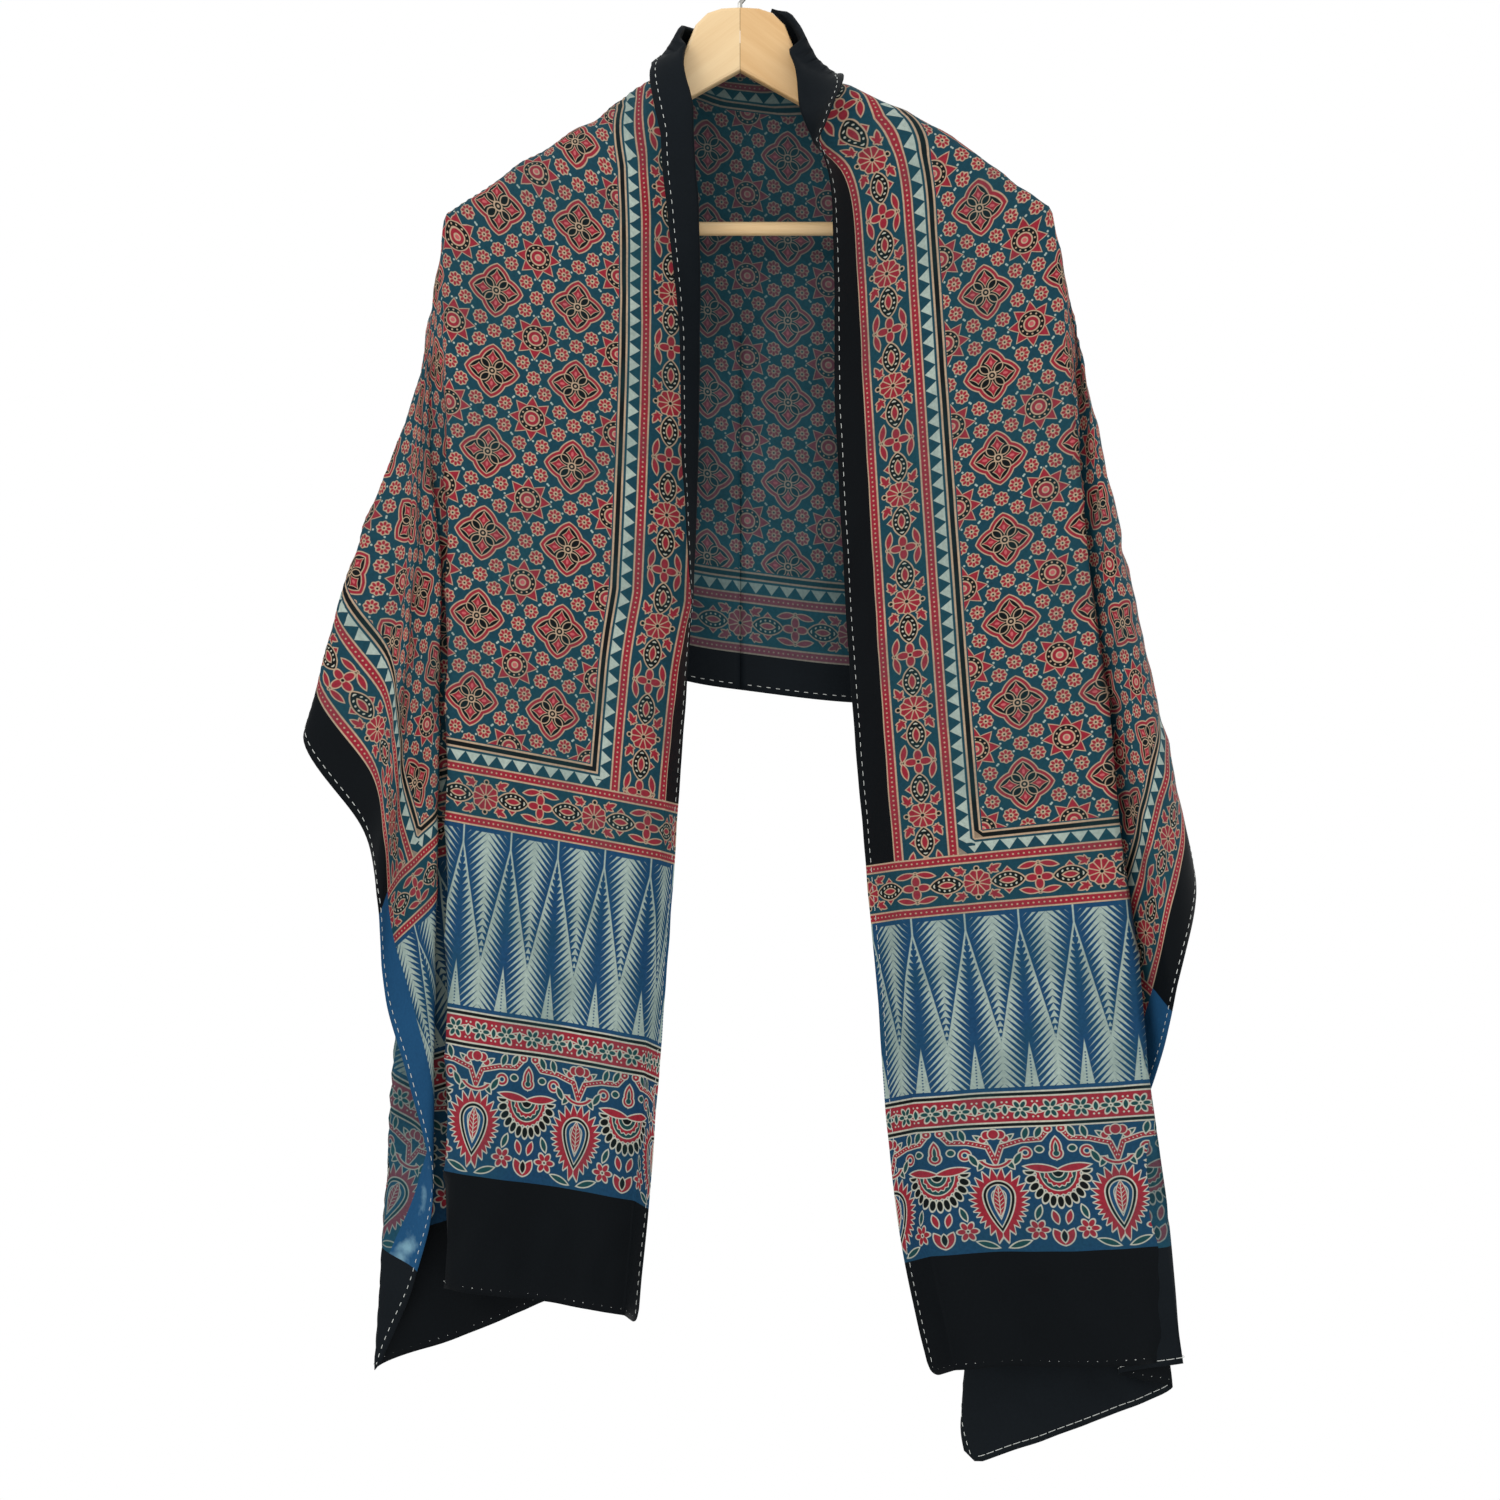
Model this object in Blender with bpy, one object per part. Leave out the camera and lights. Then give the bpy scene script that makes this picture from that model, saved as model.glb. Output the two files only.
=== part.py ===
"""A block-printed stole draped over a wooden coat hanger with a wire hook.

Units are metres. X runs to the viewer's right, Y away from the viewer and Z up.
The origin is the inside top of the hook, the point that a rail carries.
The stole is one rectangular sheet. Its flat place is (u, v): u along its length from the
middle of the back, v across it from the neck edge. Each half hangs from one arm of the
hanger, so every fold beyond the arm is a ray that starts at that arm's end.
"""

import math

import bmesh
import bpy
import numpy as np
from mathutils import Vector

# Stole
CLOTH_WIDTH = 0.535
CLOTH_THICKNESS = 0.0014
COLLAR_WIDTH = 0.031
COLLAR_BEND = 0.002
COLLAR_ROWS = 4
RAY_STEPS = 13
RAY_CROWDING = 1.25
ARM_ROLL = 0.012
NECK_ROLL = 0.035
NECK_DISTANCE = 0.2
ROLL_SETTLING = 0.35
BACK_LEAN = 3.0
CENTRE_BLEND = 0.03
NEAR_FOLDS = 0.07
FULL_FOLDS = 0.27
NEAR_DEPTH = 0.02
FULL_DEPTH = 0.15
PLAIN_BULGE = 9.0

# Hanger
WOOD_THICKNESS = 0.013
WOOD_ROUNDING = 0.0025
SEAM_GAP = 0.0003
BAR_RADIUS = 0.0052
BAR_HEIGHT = -0.228
BAR_HALF_LENGTH = 0.2015
BAR_SIDES = 24
WIRE_RADIUS = 0.0018
HOOK_RADIUS = 0.0245
SHANK_FOOT = -0.078
FIT_GAP = 0.0003
NECK_CLEARANCE = 0.0068
NECK_DEPTH = 0.0115
NECK_SPREAD = 0.016
NECK_REACH = 0.044
SAG_NEAR = 0.03
SAG_FAR = 0.2
SAG_BEHIND = 0.045
LIFT_FULL = 0.09

# Height of the back's neck edge, were the sheet to run on flat behind the collar.
BACK_EDGE = {
    "x": (-0.221, -0.120, -0.037, 0.000, 0.087, 0.160, 0.2325),
    "z": (0.0117, -0.0200, -0.0465, -0.0503, -0.0570, -0.0520, -0.0370),
    "lift": (0.0, 0.006, 0.012, 0.010, 0.007, 0.003, 0.0),
}

# Each half of the stole, as it hangs from its arm. Angles are in degrees.
# flat: direction on the flat sheet, from straight down the back to along the front edge.
# out: how far the ray leans away from the middle. back: how far it leans to the back.
LEFT = {
    "sign": -1.0,
    "arm": 0.221,
    "height": -0.2158,
    "arm_u": 0.229,
    "arm_v": 0.2275,
    "hang": 0.807,
    "ridge_slope": 44.3,
    "stretch": 1.03,
    "fold_flat": (0, 7, 15, 23, 31, 39.4, 47.5, 52.5, 57.8, 61, 64.8, 67.2, 69.9, 74.4, 79.5, 84, 89, 93.4),
    "fold_out": (0, 3.5, 4.5, 8.5, 12, 15.3, 7.4, 5.3, 4.2, 2.5, 0.8, 1.9, 3.7, -0.5, -4.2, -6, -3, 0),
    "fold_back": (3, 8, 3.5, 9, 4.5, -0.5, -2, -3.5, -1.6, -0.6, 0.3, 1.3, 1.8, 2.4, 2.2, 1.4, 0.6, 0),
    "edge_drop": (-0.1425, -0.115, -0.09, -0.045, 0.005, 0.1425, 0.33, 0.4275, 0.5925, 0.7425, 0.825),
    "edge_out": (0.0435, 0.0405, 0.0372, 0.0360, 0.0325, 0.0323, 0.0390, 0.0450, 0.0562, 0.0675, 0.0750),
    "tilt_drop": (-0.15, 0.3, 0.8),
    "tilt": (12.5, 11.0, 8.0),
    "turn_u": (0.0, 0.12, 0.27, 0.38, 0.46, 0.55, 0.80),
    "turn": (178, 172, 140, 115, 98, 74, 66),
    "sag_out": (0.0, 0.028, 0.044, 0.058, 0.068, 0.078, 0.092, 0.139, 0.195, 0.221),
    "sag": (0.0, 0.006, 0.012, 0.011, 0.013, 0.016, 0.012, 0.006, 0.004, 0.001),
}
RIGHT = {
    "sign": 1.0,
    "arm": 0.2325,
    "height": -0.2120,
    "arm_u": 0.236,
    "arm_v": 0.175,
    "hang": 0.874,
    "ridge_slope": 36.9,
    "stretch": 1.02,
    "fold_flat": (0, 7, 15, 24, 32, 39, 45.4, 52, 57, 61, 64, 66.5, 68.5, 73.5, 79, 82, 85, 88.5),
    "fold_out": (0, 3.5, 3.5, 7, 9, 12.5, 12.2, 8.8, 6.6, 2.8, -0.6, -3.9, -2.6, 2.2, 6, 4.5, 3.5, 6.7),
    "fold_back": (3, 8, 3.5, 9, 4.5, 5, -0.5, -3, 1.2, 3.2, 3.3, 2.7, 2.2, 1.8, 1, 0.7, 0.5, 0),
    "edge_drop": (-0.14, -0.115, -0.08, -0.06, -0.03, 0.026, 0.146, 0.334, 0.446, 0.596, 0.694, 0.784, 0.875),
    "edge_out": (0.025, 0.033, 0.043, 0.054, 0.0625, 0.0660, 0.0712, 0.0825, 0.0915, 0.105, 0.1125, 0.1237, 0.1425),
    "tilt_drop": (-0.15, 0.1, 0.5, 0.85),
    "tilt": (17.0, 15.0, 6.0, 2.0),
    "turn_u": (0.0, 0.09, 0.115, 0.14, 0.17, 0.22, 0.45, 1.0),
    "turn": (179, 176, 148, 95, 60, 46, 40, 50),
    "sag_out": (0.0, 0.028, 0.044, 0.058, 0.07, 0.09, 0.139, 0.195, 0.2325),
    "sag": (0.0, 0.004, 0.012, 0.012, 0.010, 0.002, -0.003, 0.0, 0.0),
}

# Outline of one hanger arm, seen from the front: how far out, and its height.
WOOD_OUTLINE = (
    (0.0, -0.0620),
    (0.0140, -0.0628),
    (0.0245, -0.0663),
    (0.0335, -0.0752),
    (0.0405, -0.0920),
    (0.0495, -0.1088),
    (0.0640, -0.1230),
    (0.0820, -0.1370),
    (0.1350, -0.1768),
    (0.1850, -0.2045),
    (0.2030, -0.2165),
    (0.2100, -0.2260),
    (0.2080, -0.2365),
    (0.2010, -0.2410),
    (0.1930, -0.2385),
    (0.1700, -0.2090),
    (0.1200, -0.1763),
    (0.0, -0.1096),
)

WOOD_TOP_ROWS = 9
WOOD_LIGHT = (0.80, 0.55, 0.27, 1.0)
WOOD_DARK = (0.74, 0.47, 0.21, 1.0)
INDIGO = (0.020, 0.085, 0.150, 1.0)
STEEL = (0.62, 0.62, 0.60, 1.0)


def through(places, values, x):
    """A smooth curve through the rows of a table, level beyond its ends."""
    places = np.asarray(places, float)
    values = np.asarray(values, float)
    x = np.clip(x, places[0], places[-1])
    slopes = np.empty_like(values)
    slopes[1:-1] = (values[2:] - values[:-2]) / (places[2:] - places[:-2])
    slopes[0] = (values[1] - values[0]) / (places[1] - places[0])
    slopes[-1] = (values[-1] - values[-2]) / (places[-1] - places[-2])
    row = np.clip(np.searchsorted(places, x, side="right") - 1, 0, len(places) - 2)
    span = places[row + 1] - places[row]
    t = (x - places[row]) / span
    start = (1 + 2 * t) * (1 - t) ** 2 * values[row] + t * (1 - t) ** 2 * span * slopes[row]
    end = t * t * (3 - 2 * t) * values[row + 1] + t * t * (t - 1) * span * slopes[row + 1]
    return start + end


def ease(x, low, high):
    """0 below low, 1 above high, and smooth between them."""
    t = np.clip((x - low) / (high - low), 0, 1)
    return t * t * (3 - 2 * t)


def front_place(side, along, across):
    """Flat offsets from the arm end to (out, height) on the front panel."""
    ridge = math.radians(side["fold_flat"][-1])
    lean = math.radians(side["fold_out"][-1])
    shortening = math.cos(lean) / math.sin(ridge)
    ridge_across = along * math.cos(ridge) / math.sin(ridge)
    tilt = np.radians(through(side["tilt_drop"], side["tilt"], along))
    drop = along * shortening + (ridge_across - across) * np.sin(tilt)
    outer = side["arm"] + along * shortening * math.tan(lean)
    turn = through(side["turn_u"], side["turn"], along + side["arm_u"])
    seen = COLLAR_WIDTH * np.clip(np.cos(np.radians(turn)), 0, 1)
    inner = through(side["edge_drop"], side["edge_out"], drop) + seen
    fold_across = COLLAR_WIDTH - side["arm_v"]
    share = (across - fold_across) / (ridge_across - fold_across)
    return inner + (outer - inner) * share, side["height"] - drop


def back_place(side, along, across):
    """Flat offsets from the arm end to (out, height) on the back panel."""
    out = side["arm"] * (along + side["arm_u"]) / side["arm_u"]
    edge = through(BACK_EDGE["x"], BACK_EDGE["z"], side["sign"] * out)
    lift = through(BACK_EDGE["x"], BACK_EDGE["lift"], side["sign"] * out)
    down = across + side["arm_v"]
    return out, edge - down + lift * ease(down, COLLAR_WIDTH, LIFT_FULL)


def side_place(side, distance, flat):
    """A point of the folds beyond the arm end, as (out, back, height)."""
    ridge = side["fold_flat"][-1]
    plain = np.sin(np.pi * flat / ridge) * PLAIN_BULGE + flat / ridge * side["fold_out"][-1]
    share = ease(distance, NEAR_FOLDS, FULL_FOLDS)
    out = share * through(side["fold_flat"], side["fold_out"], flat) + (1 - share) * plain
    share = ease(distance, NEAR_DEPTH, FULL_DEPTH)
    back = share * through(side["fold_flat"], side["fold_back"], flat)
    back = back + (1 - share) * BACK_LEAN * (1 - ease(flat, 0, ridge))
    out = np.radians(out)
    back = np.radians(back)
    slack = 1 + (side["stretch"] - 1) * np.sin(np.pi * flat / ridge)
    length = distance * slack
    return side["arm"] + length * np.sin(out), length * np.sin(back), side["height"] - length * np.cos(out)


def clear_of_wood(out, depth, height):
    """Moves the cloth that passes over the hanger's neck out of the wood."""
    outline = np.array(WOOD_OUTLINE[:WOOD_TOP_ROWS])
    best = np.full(np.shape(out), 1e9)
    near_out = np.zeros(np.shape(out))
    near_height = np.zeros(np.shape(out))
    for start, end in zip(outline, outline[1:]):
        step = end - start
        t = ((out - start[0]) * step[0] + (height - start[1]) * step[1]) / (step @ step)
        t = np.clip(t, 0, 1)
        on_out = start[0] + t * step[0]
        on_height = start[1] + t * step[1]
        distance = np.hypot(out - on_out, height - on_height)
        nearer = distance < best
        best = np.where(nearer, distance, best)
        near_out = np.where(nearer, on_out, near_out)
        near_height = np.where(nearer, on_height, near_height)
    inside = height < np.interp(out, outline[:, 0], outline[:, 1])
    sign = np.where(inside, -1.0, 1.0)
    direction_out = sign * (out - near_out) / np.maximum(best, 1e-9)
    direction_height = sign * (height - near_height) / np.maximum(best, 1e-9)
    push = np.clip(NECK_CLEARANCE - sign * best, 0, None)
    push = push * (1 - ease(np.abs(depth), NECK_DEPTH, NECK_SPREAD))
    push = push * (1 - ease(out, outline[-2, 0], outline[-1, 0]))
    push = push * ease(out, -outline[1, 0], 0) * (1 - ease(best, NECK_REACH / 2, NECK_REACH))
    return out + push * direction_out, height + push * direction_height


def base_place(side, u, v):
    """The sheet without its collar: flat (u, v) to x, y, z."""
    along = u - side["arm_u"]
    across = v - side["arm_v"]
    reach = np.hypot(along, across)
    flat = np.degrees(np.arctan2(along, across))
    slope = math.radians(side["ridge_slope"])
    behind_ridge = -(90 + side["ridge_slope"])
    flat = np.where(flat < behind_ridge, flat + 360, flat)
    to_neck = -(along * math.cos(slope) + across * math.sin(slope))
    to_front = along * math.sin(slope) - across * math.cos(slope)
    shoulder = to_neck > 0

    neckward = ease(np.clip(to_neck, 0, None), 0, NECK_DISTANCE)
    roll = ARM_ROLL + (NECK_ROLL - ARM_ROLL) * neckward
    settle = ROLL_SETTLING * (NECK_ROLL - ARM_ROLL) * neckward
    far = np.where(shoulder, np.abs(to_front), reach)
    quarter = roll * math.pi / 2
    centre = 1 - ease(u, 0, CENTRE_BLEND)
    bend = np.clip(to_front / roll, -math.pi / 2, math.pi / 2)
    bend = np.where(shoulder, bend * (1 - centre) - centre * math.pi / 2, -math.pi / 2)
    angle = np.clip(far / roll, 0, math.pi / 2)
    rolled = np.where(far < quarter, settle + (quarter - settle) * (1 - np.cos(angle)), far)
    rolled = rolled * (1 - centre) + far * centre
    stand = roll * np.sin(angle)

    foot_along = along - to_front * math.sin(slope)
    foot_across = across + to_front * math.cos(slope)
    scale = rolled / np.maximum(far, 1e-9)
    front_along = np.where(shoulder, foot_along + rolled * math.sin(slope), along * scale)
    front_across = np.where(shoulder, foot_across - rolled * math.cos(slope), across * scale)
    behind = rolled * (1 - centre) - to_front * centre
    back_along = np.where(shoulder, foot_along - behind * math.sin(slope), along * scale)
    back_across = np.where(shoulder, foot_across + behind * math.cos(slope), across * scale)

    front_out, front_z = front_place(side, front_along, front_across)
    back_out, back_z = back_place(side, back_along, back_across)
    ridge = side["fold_flat"][-1]
    is_side = (flat >= 0) & (flat <= ridge)
    front_share = np.where(shoulder, 0.5 + 0.5 * np.sin(bend), flat > ridge)
    out = front_share * front_out + (1 - front_share) * back_out
    height = front_share * front_z + (1 - front_share) * back_z
    lean = math.tan(math.radians(BACK_LEAN)) * np.clip(across, 0, None) * (1 - 0.7 * ease(-along, 0, 0.15))
    depth = np.where(shoulder, -roll * np.sin(bend), (1 - 2 * front_share) * stand)
    depth = depth + (1 - front_share) * lean

    side_out, side_back, side_z = side_place(side, rolled, np.clip(flat, 0, ridge))
    side_depth = side_back + stand * np.cos(math.pi * np.clip(flat / ridge, 0, 1))
    out = np.where(is_side, side_out, out)
    height = np.where(is_side, side_z, height)
    depth = np.where(is_side, side_depth, depth)
    sag = through(side["sag_out"], side["sag"], out)
    sag = sag * (1 - ease(to_front, SAG_NEAR, SAG_FAR)) * (1 - ease(-to_front, 0, SAG_BEHIND))
    height = height - sag
    out, height = clear_of_wood(out, depth, height)
    return np.stack([side["sign"] * out, depth, height], axis=-1)


def place(side, u, v):
    """Flat (u, v) to x, y, z, with the neck border turned over as a collar."""
    fold = COLLAR_WIDTH
    turn = np.radians(through(side["turn_u"], side["turn"], u))
    past = np.clip(fold - v, 0, None)
    bent = np.minimum(past / COLLAR_BEND, turn)
    rest = past - bent * COLLAR_BEND
    inward = COLLAR_BEND * np.sin(bent) + rest * np.cos(turn)
    lifted = COLLAR_BEND * (1 - np.cos(bent)) + rest * np.sin(turn)
    at = np.where(v < fold, fold - inward, v)
    step = 0.002
    along = base_place(side, u + step, np.maximum(at, fold)) - base_place(side, u - step, np.maximum(at, fold))
    across = base_place(side, u, np.maximum(at, fold) + 2 * step) - base_place(side, u, np.maximum(at, fold))
    normal = side["sign"] * np.cross(along, across)
    normal = normal / np.maximum(np.linalg.norm(normal, axis=-1, keepdims=True), 1e-12)
    points = base_place(side, u, at) + normal * lifted[..., None]
    out, height = clear_of_wood(side["sign"] * points[..., 0], points[..., 1], points[..., 2])
    return np.stack([side["sign"] * out, points[..., 1], height], axis=-1)


def edge_places(side):
    """Places round the flat half sheet, one for each ray from the arm end."""
    length = side["arm_u"] + side["hang"]
    top = COLLAR_WIDTH
    places = [(0.0, v) for v in np.linspace(top, CLOTH_WIDTH, 11)[:-1]]
    places += [(u, CLOTH_WIDTH) for u in np.linspace(0, side["arm_u"], 9)[:-1]]
    corner = math.degrees(math.atan2(side["hang"], CLOTH_WIDTH - side["arm_v"]))
    rays = [0.0]
    folds = side["fold_flat"]
    for low, high in zip(folds, folds[1:]):
        pieces = 3 if high - low > 3.5 else 2
        rays += [low + (high - low) * n / pieces for n in range(1, pieces + 1)]
    nearest = min(range(len(rays)), key=lambda n: abs(rays[n] - corner))
    rays[nearest] = corner
    for ray in rays:
        angle = math.radians(ray)
        if ray <= corner:
            down = CLOTH_WIDTH - side["arm_v"]
            places.append((side["arm_u"] + down * math.tan(angle), CLOTH_WIDTH))
        else:
            across = side["hang"] * math.cos(angle) / math.sin(angle)
            places.append((length, side["arm_v"] + across))
    last = places[-1][1]
    places += [(length, v) for v in np.linspace(last, top, 7)[1:]]
    ridge_u = side["arm_u"] - (side["arm_v"] - top) / math.tan(math.radians(side["ridge_slope"]))
    places += [(u, top) for u in np.linspace(length, ridge_u + 0.12, 17)[1:]]
    places += [(u, top) for u in np.linspace(ridge_u + 0.12, max(ridge_u - 0.06, 0.004), 15)[1:]]
    if places[-1][0] > 0.02:
        places.append((places[-1][0] / 2, top))
    return places


def add_half(mesh, side):
    """Faces of one half of the sheet: rays from the arm end, then the collar's rows."""
    places = edge_places(side)
    count = len(places)
    shares = [(n / RAY_STEPS) ** RAY_CROWDING for n in range(1, RAY_STEPS + 1)]
    grid_u = [[side["arm_u"] + (u - side["arm_u"]) * share for u, v in places] for share in shares]
    grid_v = [[side["arm_v"] + (v - side["arm_v"]) * share for u, v in places] for share in shares]
    points = place(side, np.array(grid_u), np.array(grid_v))
    centre = mesh.verts.new(place(side, np.array([side["arm_u"]]), np.array([side["arm_v"]]))[0])
    rings = [[mesh.verts.new(point) for point in row] for row in points]
    flip = side["sign"] > 0

    def face(corners):
        mesh.faces.new(corners[::-1] if flip else corners)

    for n in range(count):
        after = (n + 1) % count
        face([centre, rings[0][n], rings[0][after]])
        for inner, outer in zip(rings, rings[1:]):
            face([inner[n], outer[n], outer[after], inner[after]])

    top = [n for n in range(count) if abs(places[n][1] - COLLAR_WIDTH) < 1e-9 and n > 0] + [0]
    row_before = [rings[-1][n] for n in top]
    collar_u = np.array([places[n][0] for n in top])
    for row in range(1, COLLAR_ROWS + 1):
        v = COLLAR_WIDTH * (1 - row / COLLAR_ROWS)
        line = place(side, collar_u, np.full(len(top), v))
        row_now = [mesh.verts.new(point) for point in line]
        for n in range(len(top) - 1):
            face([row_before[n], row_now[n], row_now[n + 1], row_before[n + 1]])
        row_before = row_now


def new_object(name, mesh, material):
    data = bpy.data.meshes.new(name)
    mesh.to_mesh(data)
    mesh.free()
    obj = bpy.data.objects.new(name, data)
    bpy.context.scene.collection.objects.link(obj)
    data.materials.append(material)
    return obj


def new_material(name, color, roughness, metallic=0.0):
    material = bpy.data.materials.new(name)
    material.use_nodes = True
    shader = material.node_tree.nodes["Principled BSDF"]
    shader.inputs["Base Color"].default_value = color
    shader.inputs["Roughness"].default_value = roughness
    shader.inputs["Metallic"].default_value = metallic
    return material


def make_stole():
    mesh = bmesh.new()
    add_half(mesh, LEFT)
    add_half(mesh, RIGHT)
    seam = [vert for vert in mesh.verts if abs(vert.co.x) < 0.0005]
    bmesh.ops.remove_doubles(mesh, verts=seam, dist=0.002)
    bmesh.ops.recalc_face_normals(mesh, faces=mesh.faces)
    stole = new_object("stole", mesh, new_material("indigo_cloth", INDIGO, 0.55))
    stole.data.shade_smooth()
    solid = stole.modifiers.new("thickness", "SOLIDIFY")
    solid.thickness = CLOTH_THICKNESS
    solid.offset = 0.0
    return stole


def rounded_wood(name, sign, material):
    """One flat arm of the hanger, cut square at the middle seam."""
    mesh = bmesh.new()
    outline = []
    for out, height in WOOD_OUTLINE:
        out = max(out, SEAM_GAP / 2)
        outline.append(mesh.verts.new((sign * out, -WOOD_THICKNESS / 2, height)))
    front = mesh.faces.new(outline)
    moved = bmesh.ops.extrude_face_region(mesh, geom=[front])["geom"]
    verts = [item for item in moved if isinstance(item, bmesh.types.BMVert)]
    bmesh.ops.translate(mesh, verts=verts, vec=Vector((0, WOOD_THICKNESS, 0)))
    bmesh.ops.recalc_face_normals(mesh, faces=mesh.faces)
    seam_x = SEAM_GAP / 2 + 1e-6
    rims = []
    for edge in mesh.edges:
        flat = abs(edge.verts[0].co.y - edge.verts[1].co.y) < 1e-6
        at_seam = all(abs(vert.co.x) < seam_x for vert in edge.verts)
        if flat and not at_seam:
            rims.append(edge)
    bmesh.ops.bevel(mesh, geom=rims, offset=WOOD_ROUNDING, segments=2, profile=0.5, affect="EDGES", clamp_overlap=True)
    arm = new_object(name, mesh, material)
    return arm


def cylinder_cutter(name, radius, start, end, sides):
    middle = (Vector(start) + Vector(end)) / 2
    direction = Vector(end) - Vector(start)
    mesh = bmesh.new()
    bmesh.ops.create_cone(mesh, cap_ends=True, segments=sides, radius1=radius, radius2=radius, depth=direction.length)
    obj = bpy.data.objects.new(name, bpy.data.meshes.new(name))
    mesh.to_mesh(obj.data)
    mesh.free()
    obj.location = middle
    obj.rotation_euler = direction.to_track_quat("Z", "Y").to_euler()
    bpy.context.scene.collection.objects.link(obj)
    return obj


def cut(target, cutter):
    cutter.hide_render = True
    cutter.display_type = "WIRE"
    hole = target.modifiers.new(cutter.name, "BOOLEAN")
    hole.operation = "DIFFERENCE"
    hole.object = cutter


def make_hanger():
    light = new_material("light_wood", WOOD_LIGHT, 0.45)
    dark = new_material("dark_wood", WOOD_DARK, 0.45)
    left = rounded_wood("hanger_left", -1, light)
    right = rounded_wood("hanger_right", 1, dark)
    shank_top = (0, 0, -0.05)
    shank_foot = (0, 0, SHANK_FOOT - FIT_GAP)
    shank_hole = cylinder_cutter("shank_hole", WIRE_RADIUS + FIT_GAP, shank_foot, shank_top, 12)
    bar_end = BAR_HALF_LENGTH + FIT_GAP
    bar_hole = cylinder_cutter("bar_hole", BAR_RADIUS + FIT_GAP, (-bar_end, 0, BAR_HEIGHT), (bar_end, 0, BAR_HEIGHT), BAR_SIDES)
    for arm in (left, right):
        cut(arm, shank_hole)
        cut(arm, bar_hole)
    bar = cylinder_cutter(
        "trouser_bar", BAR_RADIUS, (-BAR_HALF_LENGTH, 0, BAR_HEIGHT), (BAR_HALF_LENGTH, 0, BAR_HEIGHT), BAR_SIDES
    )
    bar.data.materials.append(light)
    bar.data.shade_smooth()
    bar.data.set_sharp_from_angle(angle=math.radians(40))


def hook_route():
    """Wire centre line: a straight shank, a sweep to the right, then round over the top."""
    centre = -(HOOK_RADIUS - WIRE_RADIUS)
    route = [Vector((0, 0, SHANK_FOOT)), Vector((0, 0, -0.066)), Vector((0, 0, -0.058))]
    for degrees in range(-62, 196, 12):
        angle = math.radians(degrees)
        route.append(Vector((HOOK_RADIUS * math.cos(angle), 0, centre + HOOK_RADIUS * math.sin(angle))))
    return route


def make_hook():
    curve = bpy.data.curves.new("hook", "CURVE")
    curve.dimensions = "3D"
    curve.bevel_depth = WIRE_RADIUS
    curve.bevel_resolution = 2
    curve.use_fill_caps = True
    spline = curve.splines.new("POLY")
    route = hook_route()
    spline.points.add(len(route) - 1)
    for point, at in zip(spline.points, route):
        point.co = (*at, 1.0)
    hook = bpy.data.objects.new("hook", curve)
    bpy.context.scene.collection.objects.link(hook)
    curve.materials.append(new_material("steel_wire", STEEL, 0.25, 1.0))


for old in list(bpy.data.objects):
    bpy.data.objects.remove(old, do_unlink=True)
make_stole()
make_hanger()
make_hook()
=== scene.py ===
# %% [markdown]
# A block-printed stole on a wooden coat hanger. The stole is one rectangle of soft cloth,
# 2.15 m long and 0.535 m wide. It lies over the hanger's two arms like a shawl over shoulders.
# This lesson dresses the plain solids: it makes the cloth as a fine mesh on the same folds,
# draws the print with shader nodes from the cloth's own flat coordinates, and finishes the
# wood and the wire.

import math

import bmesh
import bpy
import numpy as np
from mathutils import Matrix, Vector


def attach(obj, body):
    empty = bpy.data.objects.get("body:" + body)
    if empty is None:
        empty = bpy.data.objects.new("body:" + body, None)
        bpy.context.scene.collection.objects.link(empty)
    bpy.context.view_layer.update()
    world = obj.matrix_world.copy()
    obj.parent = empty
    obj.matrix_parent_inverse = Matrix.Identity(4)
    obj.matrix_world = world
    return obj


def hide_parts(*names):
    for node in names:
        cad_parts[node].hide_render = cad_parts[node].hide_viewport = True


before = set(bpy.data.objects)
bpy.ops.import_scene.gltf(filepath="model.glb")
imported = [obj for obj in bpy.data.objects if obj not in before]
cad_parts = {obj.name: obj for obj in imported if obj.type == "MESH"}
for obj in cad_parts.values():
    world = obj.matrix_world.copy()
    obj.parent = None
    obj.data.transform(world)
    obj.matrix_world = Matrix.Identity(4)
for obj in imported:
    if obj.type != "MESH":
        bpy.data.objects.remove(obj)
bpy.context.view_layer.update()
scene = bpy.context.scene
print("solids:", sorted(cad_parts))

# %% [markdown]
# The camera comes first, because it settles how large each detail will show. The photograph
# looks straight at the front, level with the middle of the stole. A long lens keeps the
# hanging edges parallel.

# %% Camera
CAMERA_PLACE = (0.0075, -2.212, -0.621)
camera_data = bpy.data.cameras.new("camera")
camera_data.lens = 70.4
camera = bpy.data.objects.new("camera", camera_data)
camera.location = CAMERA_PLACE
camera.rotation_euler = (math.radians(90), 0, 0)
scene.collection.objects.link(camera)
scene.camera = camera
print("camera looks along +Y from", CAMERA_PLACE)

# %% [markdown]
# ## The drape
# Cloth bends easily but hardly stretches, so its shape is written as a map: each flat place
# (u, v) goes to one point in space. u runs along the stole from the middle of the back, and v
# runs across it from the neck edge. Both halves use the same rules with their own numbers.
# The small tables below hold the folds: a row says how far the cloth leans in one direction.

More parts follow.
